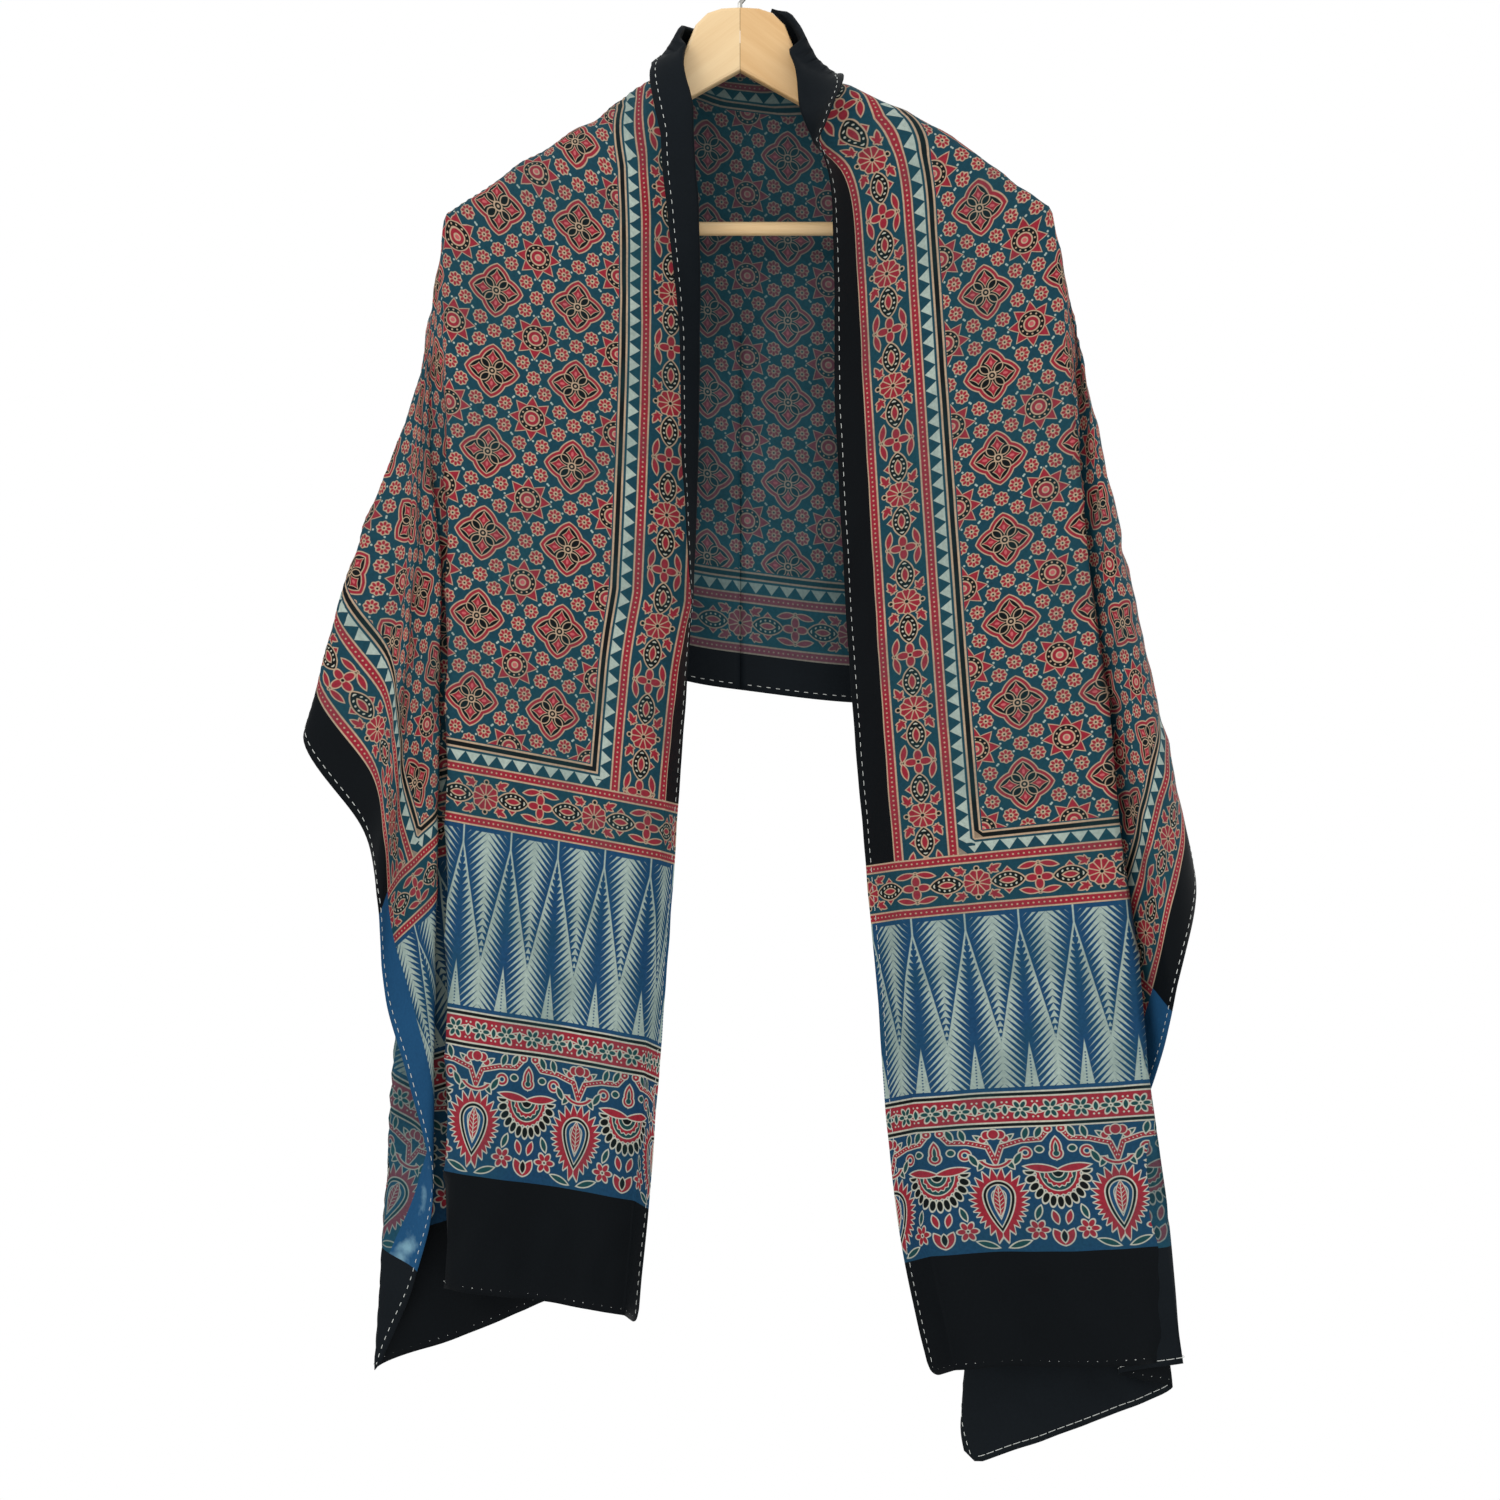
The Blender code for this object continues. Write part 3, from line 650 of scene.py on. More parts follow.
INDIGO = colour("#1b4655")
DEEP = colour("#163f44")
MADDER = colour("#a02a39")
ROSE = colour("#d0666a")
CREAM = colour("#c9ad90")
INK = colour("#0f1517")
PALE = colour("#b9c8bd")
WHITE = colour("#cfcfbe")
print("madder in linear light:", [round(c, 3) for c in MADDER])

# %% [markdown]
# Each zone's drawing is a node group with the place on the print as its inputs and the ink
# colour as its output. The face and the reverse of the cloth both use it.

# %% A group for each drawing
def drawing_group(name, inputs, outputs):
    tree = bpy.data.node_groups.new(name, "ShaderNodeTree")
    for label, kind in inputs:
        tree.interface.new_socket(label, in_out="INPUT", socket_type=kind)
    for label, kind in outputs:
        tree.interface.new_socket(label, in_out="OUTPUT", socket_type=kind)
    sheet = Drawing(tree)
    entry = tree.nodes.new("NodeGroupInput")
    leave = tree.nodes.new("NodeGroupOutput")
    values = [Value(sheet, entry.outputs[label]) for label, kind in inputs]
    return sheet, values, leave


def print_group(name):
    sheet, values, leave = drawing_group(
        name,
        [("Along", "NodeSocketFloat"), ("Across", "NodeSocketFloat")],
        [("Color", "NodeSocketColor")],
    )
    return sheet, values[0], values[1], leave


# %% [markdown]
# The field is a square lattice. Eight-rayed suns sit on its points, four-lobed medallions in
# its cells, and small round flowers fill the gaps. The lattice folds onto one eighth of a
# cell, so each motif is drawn once.

# %% Field
FIELD_PITCHES = 21
FIELD_LENGTH = sum(side["arm_u"] + side["hang"] - END_CROSS for side in (LEFT, RIGHT))
PITCH = FIELD_LENGTH / FIELD_PITCHES


def rosette(sheet, ink, x, y, centre_x, centre_y):
    p = PITCH
    r = sheet.length(x - centre_x, y - centre_y)
    turn = sheet.angle(y - centre_y, x - centre_x)
    edge = r + sheet.mirrored(turn, math.pi / 8) * 0.03 * p - 0.089 * p
    ink = sheet.paint(ink, CREAM, sheet.inside(edge))
    ink = sheet.paint(ink, MADDER, sheet.inside(sheet.petals(r, turn, 8, 0.053 * p, 0.025 * p, 0.0170 * p)))
    return sheet.paint(ink, INK, sheet.inside(r, 0.012 * p))


def draw_field():
    sheet, along, across, leave = print_group("print_field")
    across_x = sheet.mirrored(along, PITCH / 2)
    across_y = sheet.mirrored(across, PITCH / 2)
    x = sheet.larger(across_x, across_y)
    y = sheet.smaller(across_x, across_y)
    spot = sheet.point(x, y)
    p = PITCH
    ink = INDIGO

    dots = sheet.smaller(sheet.away(spot, 0.415 * p, 0.085 * p), sheet.away(spot, 0.235 * p, 0.222 * p))
    dots = sheet.smaller(dots, sheet.away(spot, 0.275 * p, 0.028 * p))
    ink = sheet.paint(ink, PALE, sheet.inside(dots, 0.012 * p))
    ink = rosette(sheet, ink, x, y, 0.325 * p, 0.137 * p)
    ink = rosette(sheet, ink, x, y, 0.5 * p, 0.0)

    r = sheet.away(spot, 0, 0)
    turn = sheet.angle(y, x)
    ray = sheet.mirrored(turn, math.pi / 8) * r - (0.252 * p - r) * 0.64
    ink = sheet.motif(ink, ray * 0.84 - 0.003 * p, MADDER, CREAM, 0.010 * p)
    bead = sheet.length(sheet.mirrored(turn, math.pi / 12) * r, r - 0.121 * p)
    ink = sheet.paint(ink, CREAM, sheet.inside(r, 0.158 * p))
    ink = sheet.paint(ink, INK, sheet.inside(r, 0.146 * p))
    ink = sheet.paint(ink, CREAM, sheet.inside(bead, 0.0105 * p))
    ink = sheet.paint(ink, CREAM, sheet.inside(r, 0.097 * p))
    ink = sheet.paint(ink, MADDER, sheet.inside(r, 0.080 * p))
    ink = sheet.paint(ink, CREAM, sheet.inside(r, 0.042 * p))
    ink = sheet.paint(ink, ROSE, sheet.inside(r, 0.026 * p))

    tip = p / 2 - x
    side = p / 2 - y
    cell = sheet.point(tip, side)
    r = sheet.length(tip, side)
    edge = sheet.length(tip + 0.12 * p, side - 0.0476 * p) - 0.3096 * p
    ink = sheet.paint(ink, CREAM, sheet.inside(edge, 0.002 * p))
    ink = sheet.paint(ink, MADDER, sheet.inside(edge, -0.011 * p))
    ink = sheet.paint(ink, CREAM, sheet.inside(edge, -0.044 * p))
    ink = sheet.paint(ink, INK, sheet.inside(edge, -0.056 * p))
    lean = abs(side - 0.16 * p)
    tulip = tip + lean * 0.75 + sheet.both(tip, lean) * (12 / p) - 0.062 * p
    ink = sheet.motif(ink, tulip * 0.8 - 0.003 * p, MADDER, CREAM, 0.011 * p)
    ink = sheet.paint(ink, ROSE, sheet.inside(sheet.length(tip * 1.8, side - 0.155 * p), 0.028 * p))
    oval = sheet.leaf(cell, 0.082 * p, 0.082 * p, 0.062 * p, 0.033 * p, 45)
    ink = sheet.motif(ink, oval, INK, CREAM, 0.011 * p)
    ink = sheet.paint(ink, CREAM, sheet.inside(r, 0.052 * p))
    ink = sheet.paint(ink, INK, sheet.inside(r, 0.036 * p))
    ink = sheet.paint(ink, CREAM, sheet.inside(r, 0.015 * p))
    sheet.tree.links.new(ink, leave.inputs[0])
    return sheet.tree


field_print = draw_field()
print("field drawn with", len(field_print.nodes), "nodes")

# %% [markdown]
# The border is a ladder of narrow bands: a dotted red band on each side of a chain of
# flowers, then a row of pale triangles and three fine lines where the field begins.

# %% Border
CHAIN = 0.085


def dotted_band(sheet, ink, along, across, low, high):
    middle = (low + high) / 2
    ink = sheet.paint(ink, CREAM, sheet.band(across, low, high))
    ink = sheet.paint(ink, MADDER, sheet.band(across, low + 0.0012, high - 0.0012))
    bead = sheet.length(sheet.near(along, 0.0037), across - middle)
    return sheet.paint(ink, CREAM, sheet.inside(bead, 0.00065))


def draw_border():
    sheet, along, across, leave = print_group("print_border")
    x = sheet.mirrored(along, CHAIN / 2)
    y = abs(across - 0.023)
    spot = sheet.point(x, y)
    ink = INDIGO

    spray = sheet.smaller(sheet.leaf(spot, 0.0125, 0.0106, 0.0044, 0.0016, 25), sheet.leaf(spot, 0.0105, 0.0098, 0.0032, 0.0012, 80))
    spray = sheet.smaller(spray, sheet.leaf(spot, 0.0112, 0.0088, 0.0036, 0.0012, -25))
    ink = sheet.motif(ink, spray, MADDER, CREAM, 0.0008)
    knot = sheet.smaller(sheet.away(spot, 0, 0.0112), sheet.away(spot, CHAIN / 2, 0.0108))
    ink = sheet.motif(ink, knot - 0.0013, INK, CREAM, 0.0008)
    thorn = abs(x - CHAIN / 4) * 1.1 + abs(y - 0.0072) - 0.0026
    ink = sheet.motif(ink, thorn * 0.75, MADDER, CREAM, 0.0008)
    frond = sheet.leaf(spot, CHAIN / 2 - 0.0072, 0.0098, 0.0062, 0.0019, 12)
    ink = sheet.motif(ink, frond, MADDER, CREAM, 0.0008)

    r = sheet.away(spot, 0, 0)
    turn = sheet.angle(y, x)
    flower = r + sheet.mirrored(turn, math.pi / 10) * 0.004 - 0.0098
    ink = sheet.motif(ink, flower, MADDER, CREAM, 0.0009)
    rib = sheet.mirrored(turn + math.pi / 10, math.pi / 10) * r
    ink = sheet.paint(ink, CREAM, sheet.both(sheet.inside(rib, 0.0004), sheet.inside(r, 0.0092)))
    ink = sheet.motif(ink, r - 0.0013, INK, CREAM, 0.0006)

    eye = sheet.leaf(spot, CHAIN / 4, 0, 0.0115, 0.0062, 0)
    ink = sheet.motif(ink, eye, INK, CREAM, 0.0009)
    bead = sheet.length(sheet.near(x - CHAIN / 4 - 0.0018, 0.0036), eye + 0.0019)
    ink = sheet.paint(ink, WHITE, sheet.inside(bead, 0.0007))
    ink = sheet.motif(ink, sheet.leaf(spot, CHAIN / 4, 0, 0.0050, 0.0019, 0), MADDER, CREAM, 0.0009)

    r = sheet.length(x - CHAIN / 2, y)
    turn = sheet.angle(y, x - CHAIN / 2)
    four = sheet.petals(r, turn, 4, 0.0052, 0.0036, 0.0026)
    ink = sheet.motif(ink, four, MADDER, CREAM, 0.0009)
    ink = sheet.motif(ink, r - 0.0011, INK, CREAM, 0.0006)

    ink = dotted_band(sheet, ink, along, across, 0.0, 0.0075)
    ink = dotted_band(sheet, ink, along, across, 0.0385, 0.046)

    tooth = sheet.mirrored(along, 0.00605) - (across - 0.0466) * 0.72
    tooth = sheet.larger(tooth, abs(across - 0.0505) - 0.004)
    ink = sheet.paint(ink, PALE, sheet.inside(tooth))
    ink = sheet.paint(ink, CREAM, sheet.band(across, 0.0563, 0.0625))
    ink = sheet.paint(ink, INK, sheet.band(across, 0.0577, 0.0611))
    sheet.tree.links.new(ink, leave.inputs[0])
    return sheet.tree


border_print = draw_border()
print("border drawn with", len(border_print.nodes), "nodes")

# %% [markdown]
# The tall band near each end shows fir trees: blue barbs that rise from a spine and thin out
# to points. A barb is a slanted stripe whose width shrinks with the distance from its spine.

# %% Fir trees
FIR_HALF = 0.0185
SKY = colour("#1e4a70")
MIST = colour("#adbfb6")


def draw_fern():
    sheet, along, from_end, leave = print_group("print_fern")
    height = from_end - END_RED
    x = sheet.mirrored(along, FIR_HALF)
    half = sheet.math("MULTIPLY_ADD", height, -0.2056, 0.1225 * 0.2056, clamp=True)
    half = sheet.smaller(half, FIR_HALF)
    outside = x - half
    is_out = sheet.math("GREATER_THAN", outside, 0)
    start = sheet.smaller(x, sheet.larger(outside, 0) + (1 - is_out))
    reach = half * (1 - is_out) * 0.75 + (FIR_HALF - half) * is_out * 0.75
    spacing = 0.0027
    stripe = sheet.mirrored(height - x * 1.05, spacing) / spacing
    barb = stripe - 1.25 + start / (reach + 0.0008)
    ink = sheet.paint(MIST, SKY, sheet.inside(barb, 0, 0.24))
    ink = sheet.paint(ink, SKY, sheet.band(height, 0.1325, 0.14))
    ink = sheet.paint(ink, MIST, sheet.inside(abs(outside), 0.0006))
    spear = x - (0.031 - height) * 0.15
    ink = sheet.paint(ink, MIST, sheet.inside(spear, 0.0004))
    thread = sheet.length(x, sheet.near(height, 0.0024))
    thread = sheet.larger(thread, height - 0.024)
    ink = sheet.paint(ink, SKY, sheet.inside(thread, 0.0006))
    sheet.tree.links.new(ink, leave.inputs[0])
    return sheet.tree


fern_print = draw_fern()
print("fir trees drawn with", len(fern_print.nodes), "nodes")

# %% [markdown]
# The red band carries a garland of small six-petalled flowers and leaves, between triple
# lines of white, black and white.

# %% Red flower band
TEAL = colour("#1c4a4c")


def triple_line(sheet, ink, across, start):
    ink = sheet.paint(ink, WHITE, sheet.band(across, start, start + 0.0048))
    return sheet.paint(ink, INK, sheet.band(across, start + 0.0012, start + 0.0036))


def draw_red_band():
    sheet, along, from_end, leave = print_group("print_red_band")
    across = from_end - END_PAISLEY
    ink = sheet.paint(SKY, MADDER, sheet.inside(across, 0.025))
    x = sheet.near(along, 0.0203)
    y = across - 0.0139
    stem = abs(y - sheet.math("SINE", along * (2 * math.pi / 0.0406)) * 0.0032)
    ink = sheet.paint(ink, WHITE, sheet.inside(stem, 0.0004))
    bead = sheet.length(abs(x) - 0.0085, abs(y) - 0.0058)
    ink = sheet.paint(ink, WHITE, sheet.inside(bead, 0.0007))
    almond = sheet.leaf(sheet.point(abs(x), y), 0.01015, 0, 0.0034, 0.0016, 90)
    ink = sheet.motif(ink, almond, TEAL, WHITE, 0.0009)
    r = sheet.length(x, y)
    petal = sheet.petals(r, sheet.angle(y, x), 6, 0.0042, 0.0025, 0.0015)
    ink = sheet.motif(ink, petal, TEAL, WHITE, 0.0008)
    ink = sheet.motif(ink, r - 0.0006, INK, WHITE, 0.0007)
    ink = triple_line(sheet, ink, across, 0.0)
    ink = triple_line(sheet, ink, across, 0.0232)
    sheet.tree.links.new(ink, leave.inputs[0])
    return sheet.tree


red_print = draw_red_band()
print("red band drawn with", len(red_print.nodes), "nodes")

# %% [markdown]
# The paisley band repeats two motifs: a drop-shaped seed with a rim of red petals, and a fan
# under a dotted vine. They are mirrored about their own middles, as carved blocks are.

# %% Paisley band
PAISLEY_HALF = 0.041
VINE = ((0, 0.069), (0.0045, 0.081), (0.018, 0.085), (0.031, 0.086), (0.0362, 0.0925))


def draw_paisley():
    sheet, along, from_end, leave = print_group("print_paisley")
    height = from_end - END_BLACK
    x = sheet.mirrored(along, PAISLEY_HALF)
    spot = sheet.point(x, height)
    ink = colour("#1b4566")

    vine = sheet.stroke(spot, VINE)
    ink = sheet.motif(ink, vine - 0.0015, MADDER, WHITE, 0.0008)
    bead = sheet.length(sheet.near(x + height * 0.8, 0.0034), vine)
    ink = sheet.paint(ink, WHITE, sheet.inside(bead, 0.0005))
    curls = sheet.smaller(abs(sheet.away(spot, 0.0205, 0.0756) - 0.0033), abs(sheet.away(spot, 0.0364, 0.0935) - 0.0017))
    ink = sheet.motif(ink, curls - 0.0009, MADDER, WHITE, 0.0008)

    for place_x, place_y, half_length, half_width, degrees in (
        (0.0302, 0.0912, 0.0045, 0.0019, 65),
        (0.0215, 0.0905, 0.0045, 0.0019, 75),
        (0.0088, 0.0868, 0.0052, 0.0016, 35),
        (0.0150, 0.0712, 0.0050, 0.0019, 60),
        (0.0098, 0.0672, 0.0042, 0.0017, 125),
        (0.0110, 0.0058, 0.0075, 0.0019, 20),
        (0.0255, 0.0300, 0.0052, 0.0018, 70),
        (0.0300, 0.0780, 0.0026, 0.0022, 0),
    ):
        leaf = sheet.leaf(spot, place_x, place_y, half_length, half_width, degrees)
        ink = sheet.motif(ink, leaf, TEAL, WHITE, 0.0009)
    for place_x, place_y, size in ((0.0076, 0.0868, 0.0024), (0.0046, 0.0900, 0.0030), (0, 0.0905, 0.0034)):
        ink = sheet.motif(ink, sheet.away(spot, place_x, place_y) - size, MADDER, WHITE, 0.0008)

    crescent = abs(sheet.away(spot, 0, 0.0780) - 0.0125)
    ink = sheet.motif(ink, sheet.larger(crescent - 0.0009, height - 0.0705), MADDER, WHITE, 0.0008)

    r = sheet.away(spot, 0.024, 0.0168)
    turn = sheet.angle(height - 0.0168, x - 0.024)
    ink = sheet.motif(ink, sheet.petals(r, turn, 6, 0.0045, 0.0028, 0.0019), MADDER, WHITE, 0.0008)
    ink = sheet.motif(ink, r - 0.0008, INK, WHITE, 0.0006)
    bud = sheet.leaf(spot, PAISLEY_HALF - 0.0046, 0.0262, 0.0050, 0.0020, 105)
    ink = sheet.motif(ink, bud, MADDER, WHITE, 0.0008)
    cup = sheet.leaf(spot, PAISLEY_HALF - 0.0034, 0.0108, 0.0068, 0.0030, 118)
    ink = sheet.motif(ink, cup, MADDER, WHITE, 0.0009)
    ink = sheet.motif(ink, sheet.leaf(spot, PAISLEY_HALF, 0.0115, 0.0045, 0.0020, 90), INK, WHITE, 0.0008)

    fan_x = x - PAISLEY_HALF
    fan = sheet.length(fan_x * 1.25, height - 0.0615)
    turn = sheet.angle(height - 0.0615, fan_x * 1.25)
    above = height - 0.0615
    ovals = sheet.petals(fan, turn, 24, 0.0237, 0.0040, 0.0025)
    ink = sheet.motif(ink, sheet.larger(ovals, above), INK, WHITE, 0.0009)
    wave = fan + sheet.mirrored(turn, math.pi / 24) * 0.008 - 0.0190
    ink = sheet.motif(ink, sheet.larger(wave, above), MADDER, WHITE, 0.0008)
    ink = sheet.motif(ink, sheet.larger(fan - 0.0150, above), TEAL, WHITE, 0.0008)
    scallop = fan + sheet.mirrored(turn, math.pi / 16) * 0.007 - 0.0124
    ink = sheet.motif(ink, sheet.larger(scallop, above), MADDER, WHITE, 0.0008)
    ink = sheet.motif(ink, sheet.larger(fan - 0.0085, above), TEAL, WHITE, 0.0008)
    ink = sheet.motif(ink, sheet.larger(fan - 0.0048, above), INK, WHITE, 0.0008)
    wing = sheet.leaf(spot, PAISLEY_HALF - 0.0108, 0.0636, 0.0112, 0.0026, -8)
    ink = sheet.motif(ink, wing, MADDER, WHITE, 0.0009)

    drop = sheet.smaller(sheet.leaf(spot, PAISLEY_HALF, 0.0785, 0.0085, 0.0034, 90), sheet.away(spot, PAISLEY_HALF, 0.0745) - 0.0042)
    ink = sheet.motif(ink, drop, MADDER, WHITE, 0.0009)
    ink = sheet.motif(ink, drop + 0.0022, TEAL, WHITE, 0.0006)

    below = sheet.math("POWER", sheet.larger((0.043 - height) / 0.0276, 0), 1.74)
    seed = sheet.length(x / 0.0105, sheet.larger(height - 0.043, 0) / 0.0112) + below
    r = sheet.away(spot, 0, 0.036)
    turn = sheet.angle(height - 0.036, x)
    petal = sheet.mirrored(turn, math.pi / 26) * r - 0.0025 + sheet.larger(seed - 1.3, 0) * 0.0040
    petal = sheet.larger(petal, (abs(seed - 1.5) - 0.42) * 0.0105)
    ink = sheet.motif(ink, petal, MADDER, WHITE, 0.0008)
    for size, ink_colour in ((1.09, WHITE), (1.0, INK), (0.82, WHITE), (0.745, SKY), (0.50, WHITE), (0.43, SKY)):
        ink = sheet.paint(ink, ink_colour, sheet.inside((seed - size) * 0.0105))
    core = sheet.leaf(spot, 0, 0.0395, 0.0115, 0.0036, 90)
    ink = sheet.motif(ink, core, MADDER, WHITE, 0.0007)
    vein = sheet.smaller(x, sheet.mirrored(height - x, 0.0016))
    ink = sheet.paint(ink, WHITE, sheet.both(sheet.inside(vein, 0.0003), sheet.inside(core, -0.0005)))
    sheet.tree.links.new(ink, leave.inputs[0])
    return sheet.tree


paisley_print = draw_paisley()
print("paisley drawn with", len(paisley_print.nodes), "nodes")

# %% [markdown]
# Indigo and madder are dyed, not painted: the ground is darker and greener in some places,
# and threads of the fine silk show across it. One group makes that unevenness, and another
# makes the height of the threads for the bump.

# %% Dye and weave
def make_dye():
    sheet, values, leave = drawing_group(
        "dye_unevenness",
        [("Place", "NodeSocketVector"), ("Amount", "NodeSocketFloat")],
        [("Shade", "NodeSocketFloat"), ("Patch", "NodeSocketFloat")],
    )
    place_in, amount = values
    broad = sheet.node("ShaderNodeTexNoise", [("Vector", place_in), ("Scale", 22.0), ("Detail", 2.0)])
    fine = sheet.node("ShaderNodeTexNoise", [("Vector", place_in), ("Scale", 420.0), ("Detail", 1.0)])
    broad = Value(sheet, broad.outputs[0])
    fine = Value(sheet, fine.outputs[0])
    shade = 0.80 + ((broad - 0.5) * 0.9 + (fine - 0.5) * 0.7) * amount
    patch = sheet.math("MULTIPLY_ADD", broad, 5.0, -2.1, clamp=True)
    sheet.tree.links.new(shade.socket, leave.inputs[0])
    sheet.tree.links.new(patch.socket, leave.inputs[1])
    return sheet.tree


def make_weave():
    sheet, values, leave = drawing_group(
        "silk_weave",
        [("Place", "NodeSocketVector")],
        [("Height", "NodeSocketFloat")],
    )
    split = sheet.node("ShaderNodeSeparateXYZ", [(0, values[0])])
    warp = sheet.math("SINE", Value(sheet, split.outputs[0]) * 6500.0)
    weft = sheet.math("SINE", Value(sheet, split.outputs[1]) * 5200.0)
    slub = sheet.node("ShaderNodeTexNoise", [("Vector", values[0]), ("Scale", 160.0), ("Detail", 3.0)])
    height = warp * weft * 0.15 + Value(sheet, slub.outputs[0]) * 1.6
    sheet.tree.links.new(height.socket, leave.inputs[0])
    return sheet.tree


dye_group = make_dye()
weave_group = make_weave()
print("dye and weave groups ready")

# %% [markdown]
# Each zone has two materials: the printed face, and the reverse, where the ink has only come
# partly through. The reverse is duller, its pale lines are nearly lost and its ground is teal.

# %% Cloth materials
REVERSE_TEAL = colour("#1d4a55")
BLACK_FACE = colour("#090e12")
BLACK_REVERSE = colour("#12181d")
MARGIN_BLUE = colour("#1f5078")
UNDYED = colour("#7fa9bb")


def cloth_material(name, drawn, plain, blotch, reverse):
    material = bpy.data.materials.new(name)
    material.use_nodes = True
    sheet = Drawing(material.node_tree)
    shader = material.node_tree.nodes["Principled BSDF"]
    cloth_uv = sheet.node("ShaderNodeUVMap", uv_map="cloth").outputs[0]
    if drawn:
        print_uv = sheet.node("ShaderNodeUVMap", uv_map="print").outputs[0]
        split = sheet.node("ShaderNodeSeparateXYZ", [(0, print_uv)])
        printed = sheet.node("ShaderNodeGroup", node_tree=drawn)
        sheet.tree.links.new(split.outputs[0], printed.inputs[0])
        sheet.tree.links.new(split.outputs[1], printed.inputs[1])
        ink = printed.outputs[0]
    else:
        ink = plain
        if blotch:
            spots = sheet.node("ShaderNodeTexNoise", [("Vector", cloth_uv), ("Scale", 38.0), ("Detail", 4.0)])
            spots = sheet.math("MULTIPLY_ADD", Value(sheet, spots.outputs[0]), 5.0, -2.6, clamp=True)
            ink = sheet.paint(ink, blotch, spots)
    dye = sheet.node("ShaderNodeGroup", node_tree=dye_group)
    sheet.tree.links.new(cloth_uv, dye.inputs[0])
    dye.inputs[1].default_value = 0.55 if drawn else 0.35
    if drawn and reverse:
        ink = sheet.paint(ink, REVERSE_TEAL, 0.66)
    elif drawn:
        green = sheet.node("ShaderNodeMix", [(0, 0.35), (6, ink), (7, DEEP)], data_type="RGBA")
        ink = sheet.paint(ink, green.outputs[2], Value(sheet, dye.outputs[1]))
    shaded = sheet.node("ShaderNodeMix", [(0, 1.0), (6, ink)], data_type="RGBA", blend_type="MULTIPLY")
    sheet.tree.links.new(dye.outputs[0], shaded.inputs[7])
    sheet.tree.links.new(shaded.outputs[2], shader.inputs["Base Color"])
    weave = sheet.node("ShaderNodeGroup", node_tree=weave_group)
    sheet.tree.links.new(cloth_uv, weave.inputs[0])
    bump = sheet.node("ShaderNodeBump", [("Strength", 0.25), ("Distance", 0.0004)])
    sheet.tree.links.new(weave.outputs[0], bump.inputs["Height"])
    sheet.tree.links.new(bump.outputs[0], shader.inputs["Normal"])
    shader.inputs["Roughness"].default_value = 0.62
    shader.inputs["Sheen Weight"].default_value = 0.02
    shader.inputs["Sheen Roughness"].default_value = 0.4
    shader.inputs["Specular IOR Level"].default_value = 0.07
    return material


DRAWN = {
    "black": None,
    "border": border_print,
    "field": field_print,
    "fern": fern_print,
    "red_band": red_print,
    "paisley": paisley_print,
    "margin": None,
}
for reverse in (False, True):
    for zone in ZONES:
        if zone == "black":
            plain = BLACK_REVERSE if reverse else BLACK_FACE
        else:
            plain = MARGIN_BLUE
        label = zone + ("_reverse" if reverse else "_face")
        blotch = UNDYED if reverse and zone == "margin" else None
        stole.data.materials.append(cloth_material(label, DRAWN[zone], plain, blotch, reverse))
skin = stole.modifiers.new("thickness", "SOLIDIFY")
skin.thickness = 0.0006
skin.offset = 0.0
skin.material_offset = len(ZONES)
print("cloth materials:", len(stole.data.materials))

# %% [markdown]
# The hems are turned by hand and held with long white running stitches, which show by turns
# on the face and on the reverse. Each row is one thin thread that dips through the cloth.

# %% Hem stitching
HEM_INSET = 0.0045
STITCH_PITCH = 0.0072
STITCH_STEP = 0.0006
THREAD_LIFT = 0.00055
THREAD_HALF_WIDTH = 0.0003
THREAD_HALF_HEIGHT = 0.0002
THREAD_SIDES = 5
SIDE_SHARE = 0.1
END_SHARE = -0.9


def stitch_row(mesh, side, u, v, face_share):
    points, normals = surface(side, u, v)
    steps = np.linalg.norm(np.diff(points, axis=0), axis=1)
    run = np.concatenate([[0], np.cumsum(steps)])
    lift = np.tanh(4 * (np.sin(2 * math.pi * run / STITCH_PITCH) + face_share)) * THREAD_LIFT
    centre = points + normals * lift[:, None]
    tangent = np.gradient(points, axis=0)
    tangent = tangent / np.linalg.norm(tangent, axis=1, keepdims=True)
    sideways = np.cross(tangent, normals)
    rings = []
    for at, up, beside in zip(centre, normals, sideways):
        turns = [2 * math.pi * n / THREAD_SIDES for n in range(THREAD_SIDES)]
        ring = [at + up * math.cos(t) * THREAD_HALF_HEIGHT + beside * math.sin(t) * THREAD_HALF_WIDTH for t in turns]
        rings.append([mesh.verts.new(point) for point in ring])
    for first, second in zip(rings, rings[1:]):
        for n in range(THREAD_SIDES):
            after = (n + 1) % THREAD_SIDES
            mesh.faces.new((first[n], first[after], second[after], second[n])).smooth = True
    mesh.faces.new(rings[0][::-1])
    mesh.faces.new(rings[-1])


thread_mesh = bmesh.new()
for side in (LEFT, RIGHT):
    length = side["arm_u"] + side["hang"]
    for v in (HEM_INSET, CLOTH_WIDTH - HEM_INSET):
        u = np.arange(0.002, length - HEM_INSET, STITCH_STEP)
        stitch_row(thread_mesh, side, u, np.full_like(u, v), SIDE_SHARE)
    v = np.arange(HEM_INSET * 2, CLOTH_WIDTH - HEM_INSET * 2, STITCH_STEP)
    stitch_row(thread_mesh, side, np.full_like(v, length - HEM_INSET), v, END_SHARE)
bmesh.ops.recalc_face_normals(thread_mesh, faces=thread_mesh.faces)
thread_data = bpy.data.meshes.new("hem_stitching")
thread_mesh.to_mesh(thread_data)
thread_mesh.free()
stitching = bpy.data.objects.new("hem_stitching", thread_data)
scene.collection.objects.link(stitching)
thread_material = bpy.data.materials.new("white_thread")
thread_material.use_nodes = True
sheet = Drawing(thread_material.node_tree)
fuzz = sheet.node("ShaderNodeTexNoise", [("Scale", 900.0), ("Detail", 2.0)])
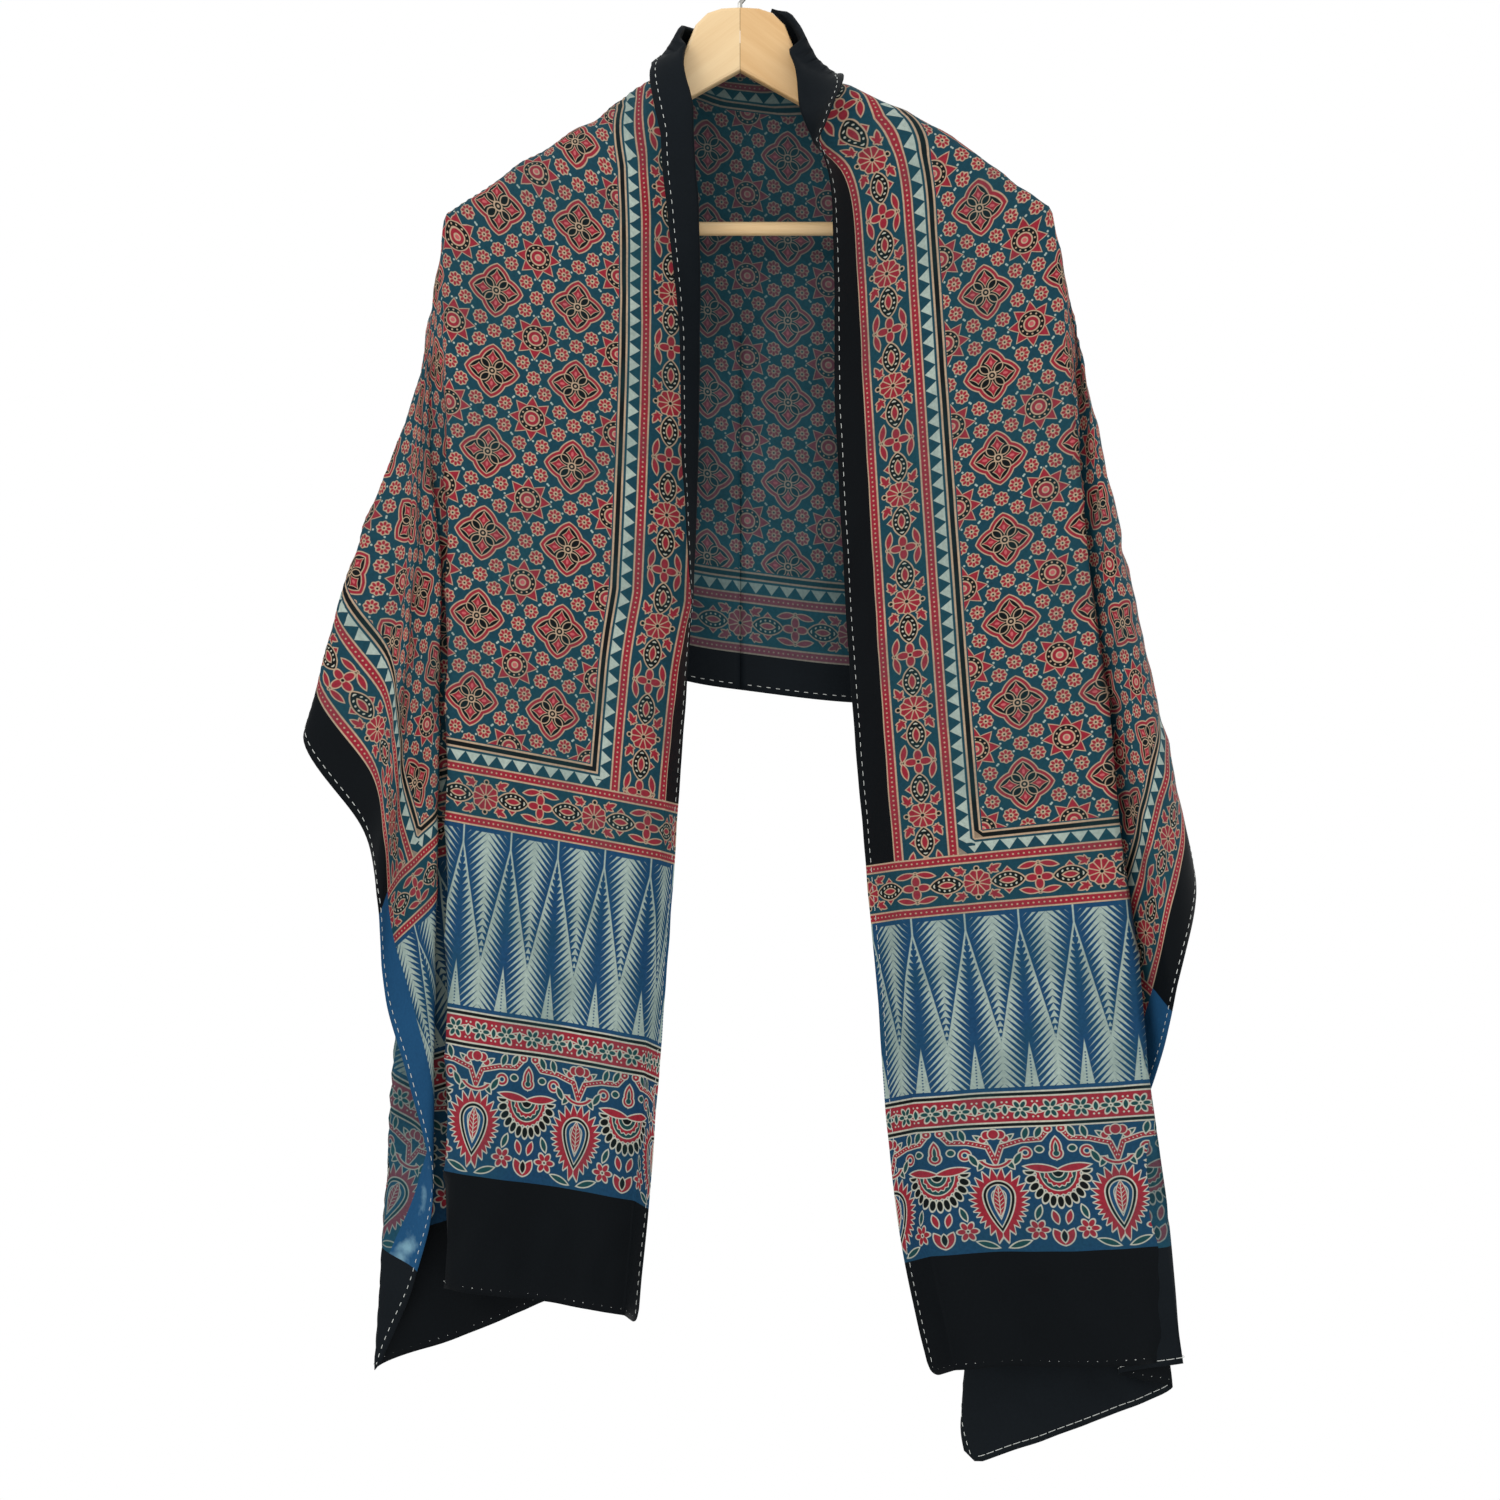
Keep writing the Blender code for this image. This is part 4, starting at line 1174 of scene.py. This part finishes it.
tone = sheet.paint(colour("#dcdcd4"), colour("#a9b0b0"), fuzz.outputs[0])
sheet.tree.links.new(tone, thread_material.node_tree.nodes["Principled BSDF"].inputs["Base Color"])
thread_material.node_tree.nodes["Principled BSDF"].inputs["Roughness"].default_value = 0.8
thread_data.materials.append(thread_material)
print("stitching faces:", len(thread_data.polygons))

# %% [markdown]
# ## Hanger
# The arms are pale lacquered wood with a straight grain along each arm. The trouser bar is
# turned from the same wood, and the hook is bright plated wire.

# %% Wood and wire
def wood_material(name, light, dark, direction):
    material = bpy.data.materials.new(name)
    material.use_nodes = True
    sheet = Drawing(material.node_tree)
    shader = material.node_tree.nodes["Principled BSDF"]
    where = sheet.node("ShaderNodeTexCoord").outputs["Object"]
    along_arm = [("Vector", where), ("Rotation", (0, direction, 0)), ("Scale", (0.33, 0.02, 0.016))]
    turned = sheet.node("ShaderNodeMapping", along_arm, vector_type="TEXTURE")
    grain = sheet.node("ShaderNodeTexNoise", [("Vector", turned.outputs[0]), ("Scale", 2.2), ("Detail", 4.0)])
    pores = sheet.node("ShaderNodeTexNoise", [("Vector", turned.outputs[0]), ("Scale", 14.0), ("Detail", 2.0)])
    grain = Value(sheet, grain.outputs[0])
    pores = Value(sheet, pores.outputs[0])
    mixed = sheet.math("MULTIPLY_ADD", grain * 0.7 + pores * 0.3, 2.0, -0.5, clamp=True)
    tone = sheet.paint(light, dark, mixed)
    sheet.tree.links.new(tone, shader.inputs["Base Color"])
    bump = sheet.node("ShaderNodeBump", [("Strength", 0.12), ("Distance", 0.0004)])
    sheet.tree.links.new(pores.socket, bump.inputs["Height"])
    sheet.tree.links.new(bump.outputs[0], shader.inputs["Normal"])
    rough = pores * 0.2 + 0.3
    sheet.tree.links.new(rough.socket, shader.inputs["Roughness"])
    shader.inputs["Coat Weight"].default_value = 0.3
    shader.inputs["Coat Roughness"].default_value = 0.2
    return material


def wire_material():
    material = bpy.data.materials.new("plated_wire")
    material.use_nodes = True
    sheet = Drawing(material.node_tree)
    shader = material.node_tree.nodes["Principled BSDF"]
    where = sheet.node("ShaderNodeTexCoord").outputs["Object"]
    marks = sheet.node("ShaderNodeTexNoise", [("Vector", where), ("Scale", 300.0), ("Detail", 3.0)])
    marks = Value(sheet, marks.outputs[0])
    tone = sheet.paint(colour("#b9b8b2"), colour("#8f8e8a"), marks)
    sheet.tree.links.new(tone, shader.inputs["Base Color"])
    sheet.tree.links.new((marks * 0.2 + 0.12).socket, shader.inputs["Roughness"])
    shader.inputs["Metallic"].default_value = 1.0
    return material


light_wood = wood_material("pale_wood", colour("#efd2a2"), colour("#e2bf8c"), math.radians(-37))
dark_wood = wood_material("warm_wood", colour("#e2bb84"), colour("#d3a66c"), math.radians(37))
bar_wood = wood_material("bar_wood", colour("#ecd0a0"), colour("#d8b07a"), 0.0)
for node, material in (
    ("hanger_left", light_wood),
    ("hanger_right", dark_wood),
    ("trouser_bar", bar_wood),
    ("hook", wire_material()),
):
    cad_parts[node].data.materials.clear()
    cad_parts[node].data.materials.append(material)
print("hanger finished")

# %% [markdown]
# ## Stage
# A pale floor, a white surround and three broad lamps: a main one high at the left of the
# camera, a weaker one at the right, and one behind for the views from the back.

# %% Floor, surround and lamps
floor_mesh = bmesh.new()
bmesh.ops.create_circle(floor_mesh, cap_ends=True, segments=96, radius=1.5)
floor_data = bpy.data.meshes.new("floor")
floor_mesh.to_mesh(floor_data)
floor_mesh.free()
floor = bpy.data.objects.new("floor", floor_data)
floor.location = (0, 0, -1.62)
scene.collection.objects.link(floor)
floor_material = bpy.data.materials.new("pale_floor")
floor_material.use_nodes = True
floor_material.node_tree.nodes["Principled BSDF"].inputs["Base Color"].default_value = (0.82, 0.82, 0.81, 1)
floor_material.node_tree.nodes["Principled BSDF"].inputs["Roughness"].default_value = 0.9
floor_data.materials.append(floor_material)

world = bpy.data.worlds.new("white_surround")
world.use_nodes = True
world.node_tree.nodes["Background"].inputs[0].default_value = (1, 1, 1, 1)
world.node_tree.nodes["Background"].inputs[1].default_value = 1.0
scene.world = world
scene.view_settings.view_transform = "Standard"


def lamp(name, place_at, target, size, power):
    data = bpy.data.lights.new(name, "AREA")
    data.shape = "DISK"
    data.size = size
    data.energy = power
    obj = bpy.data.objects.new(name, data)
    obj.location = place_at
    direction = Vector(target) - Vector(place_at)
    obj.rotation_euler = direction.to_track_quat("-Z", "Y").to_euler()
    scene.collection.objects.link(obj)


lamp("main_lamp", (-1.4, -1.9, 0.7), (0, 0, -0.6), 1.2, 11)
lamp("side_lamp", (1.8, -1.6, -0.2), (0, 0, -0.6), 1.4, 3)
lamp("back_lamp", (0.3, 2.2, 0.4), (0, 0, -0.6), 1.4, 6)
print("stage set")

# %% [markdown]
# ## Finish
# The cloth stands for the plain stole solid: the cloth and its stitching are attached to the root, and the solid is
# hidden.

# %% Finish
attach(stole, "root")
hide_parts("stole")
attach(stitching, "root")
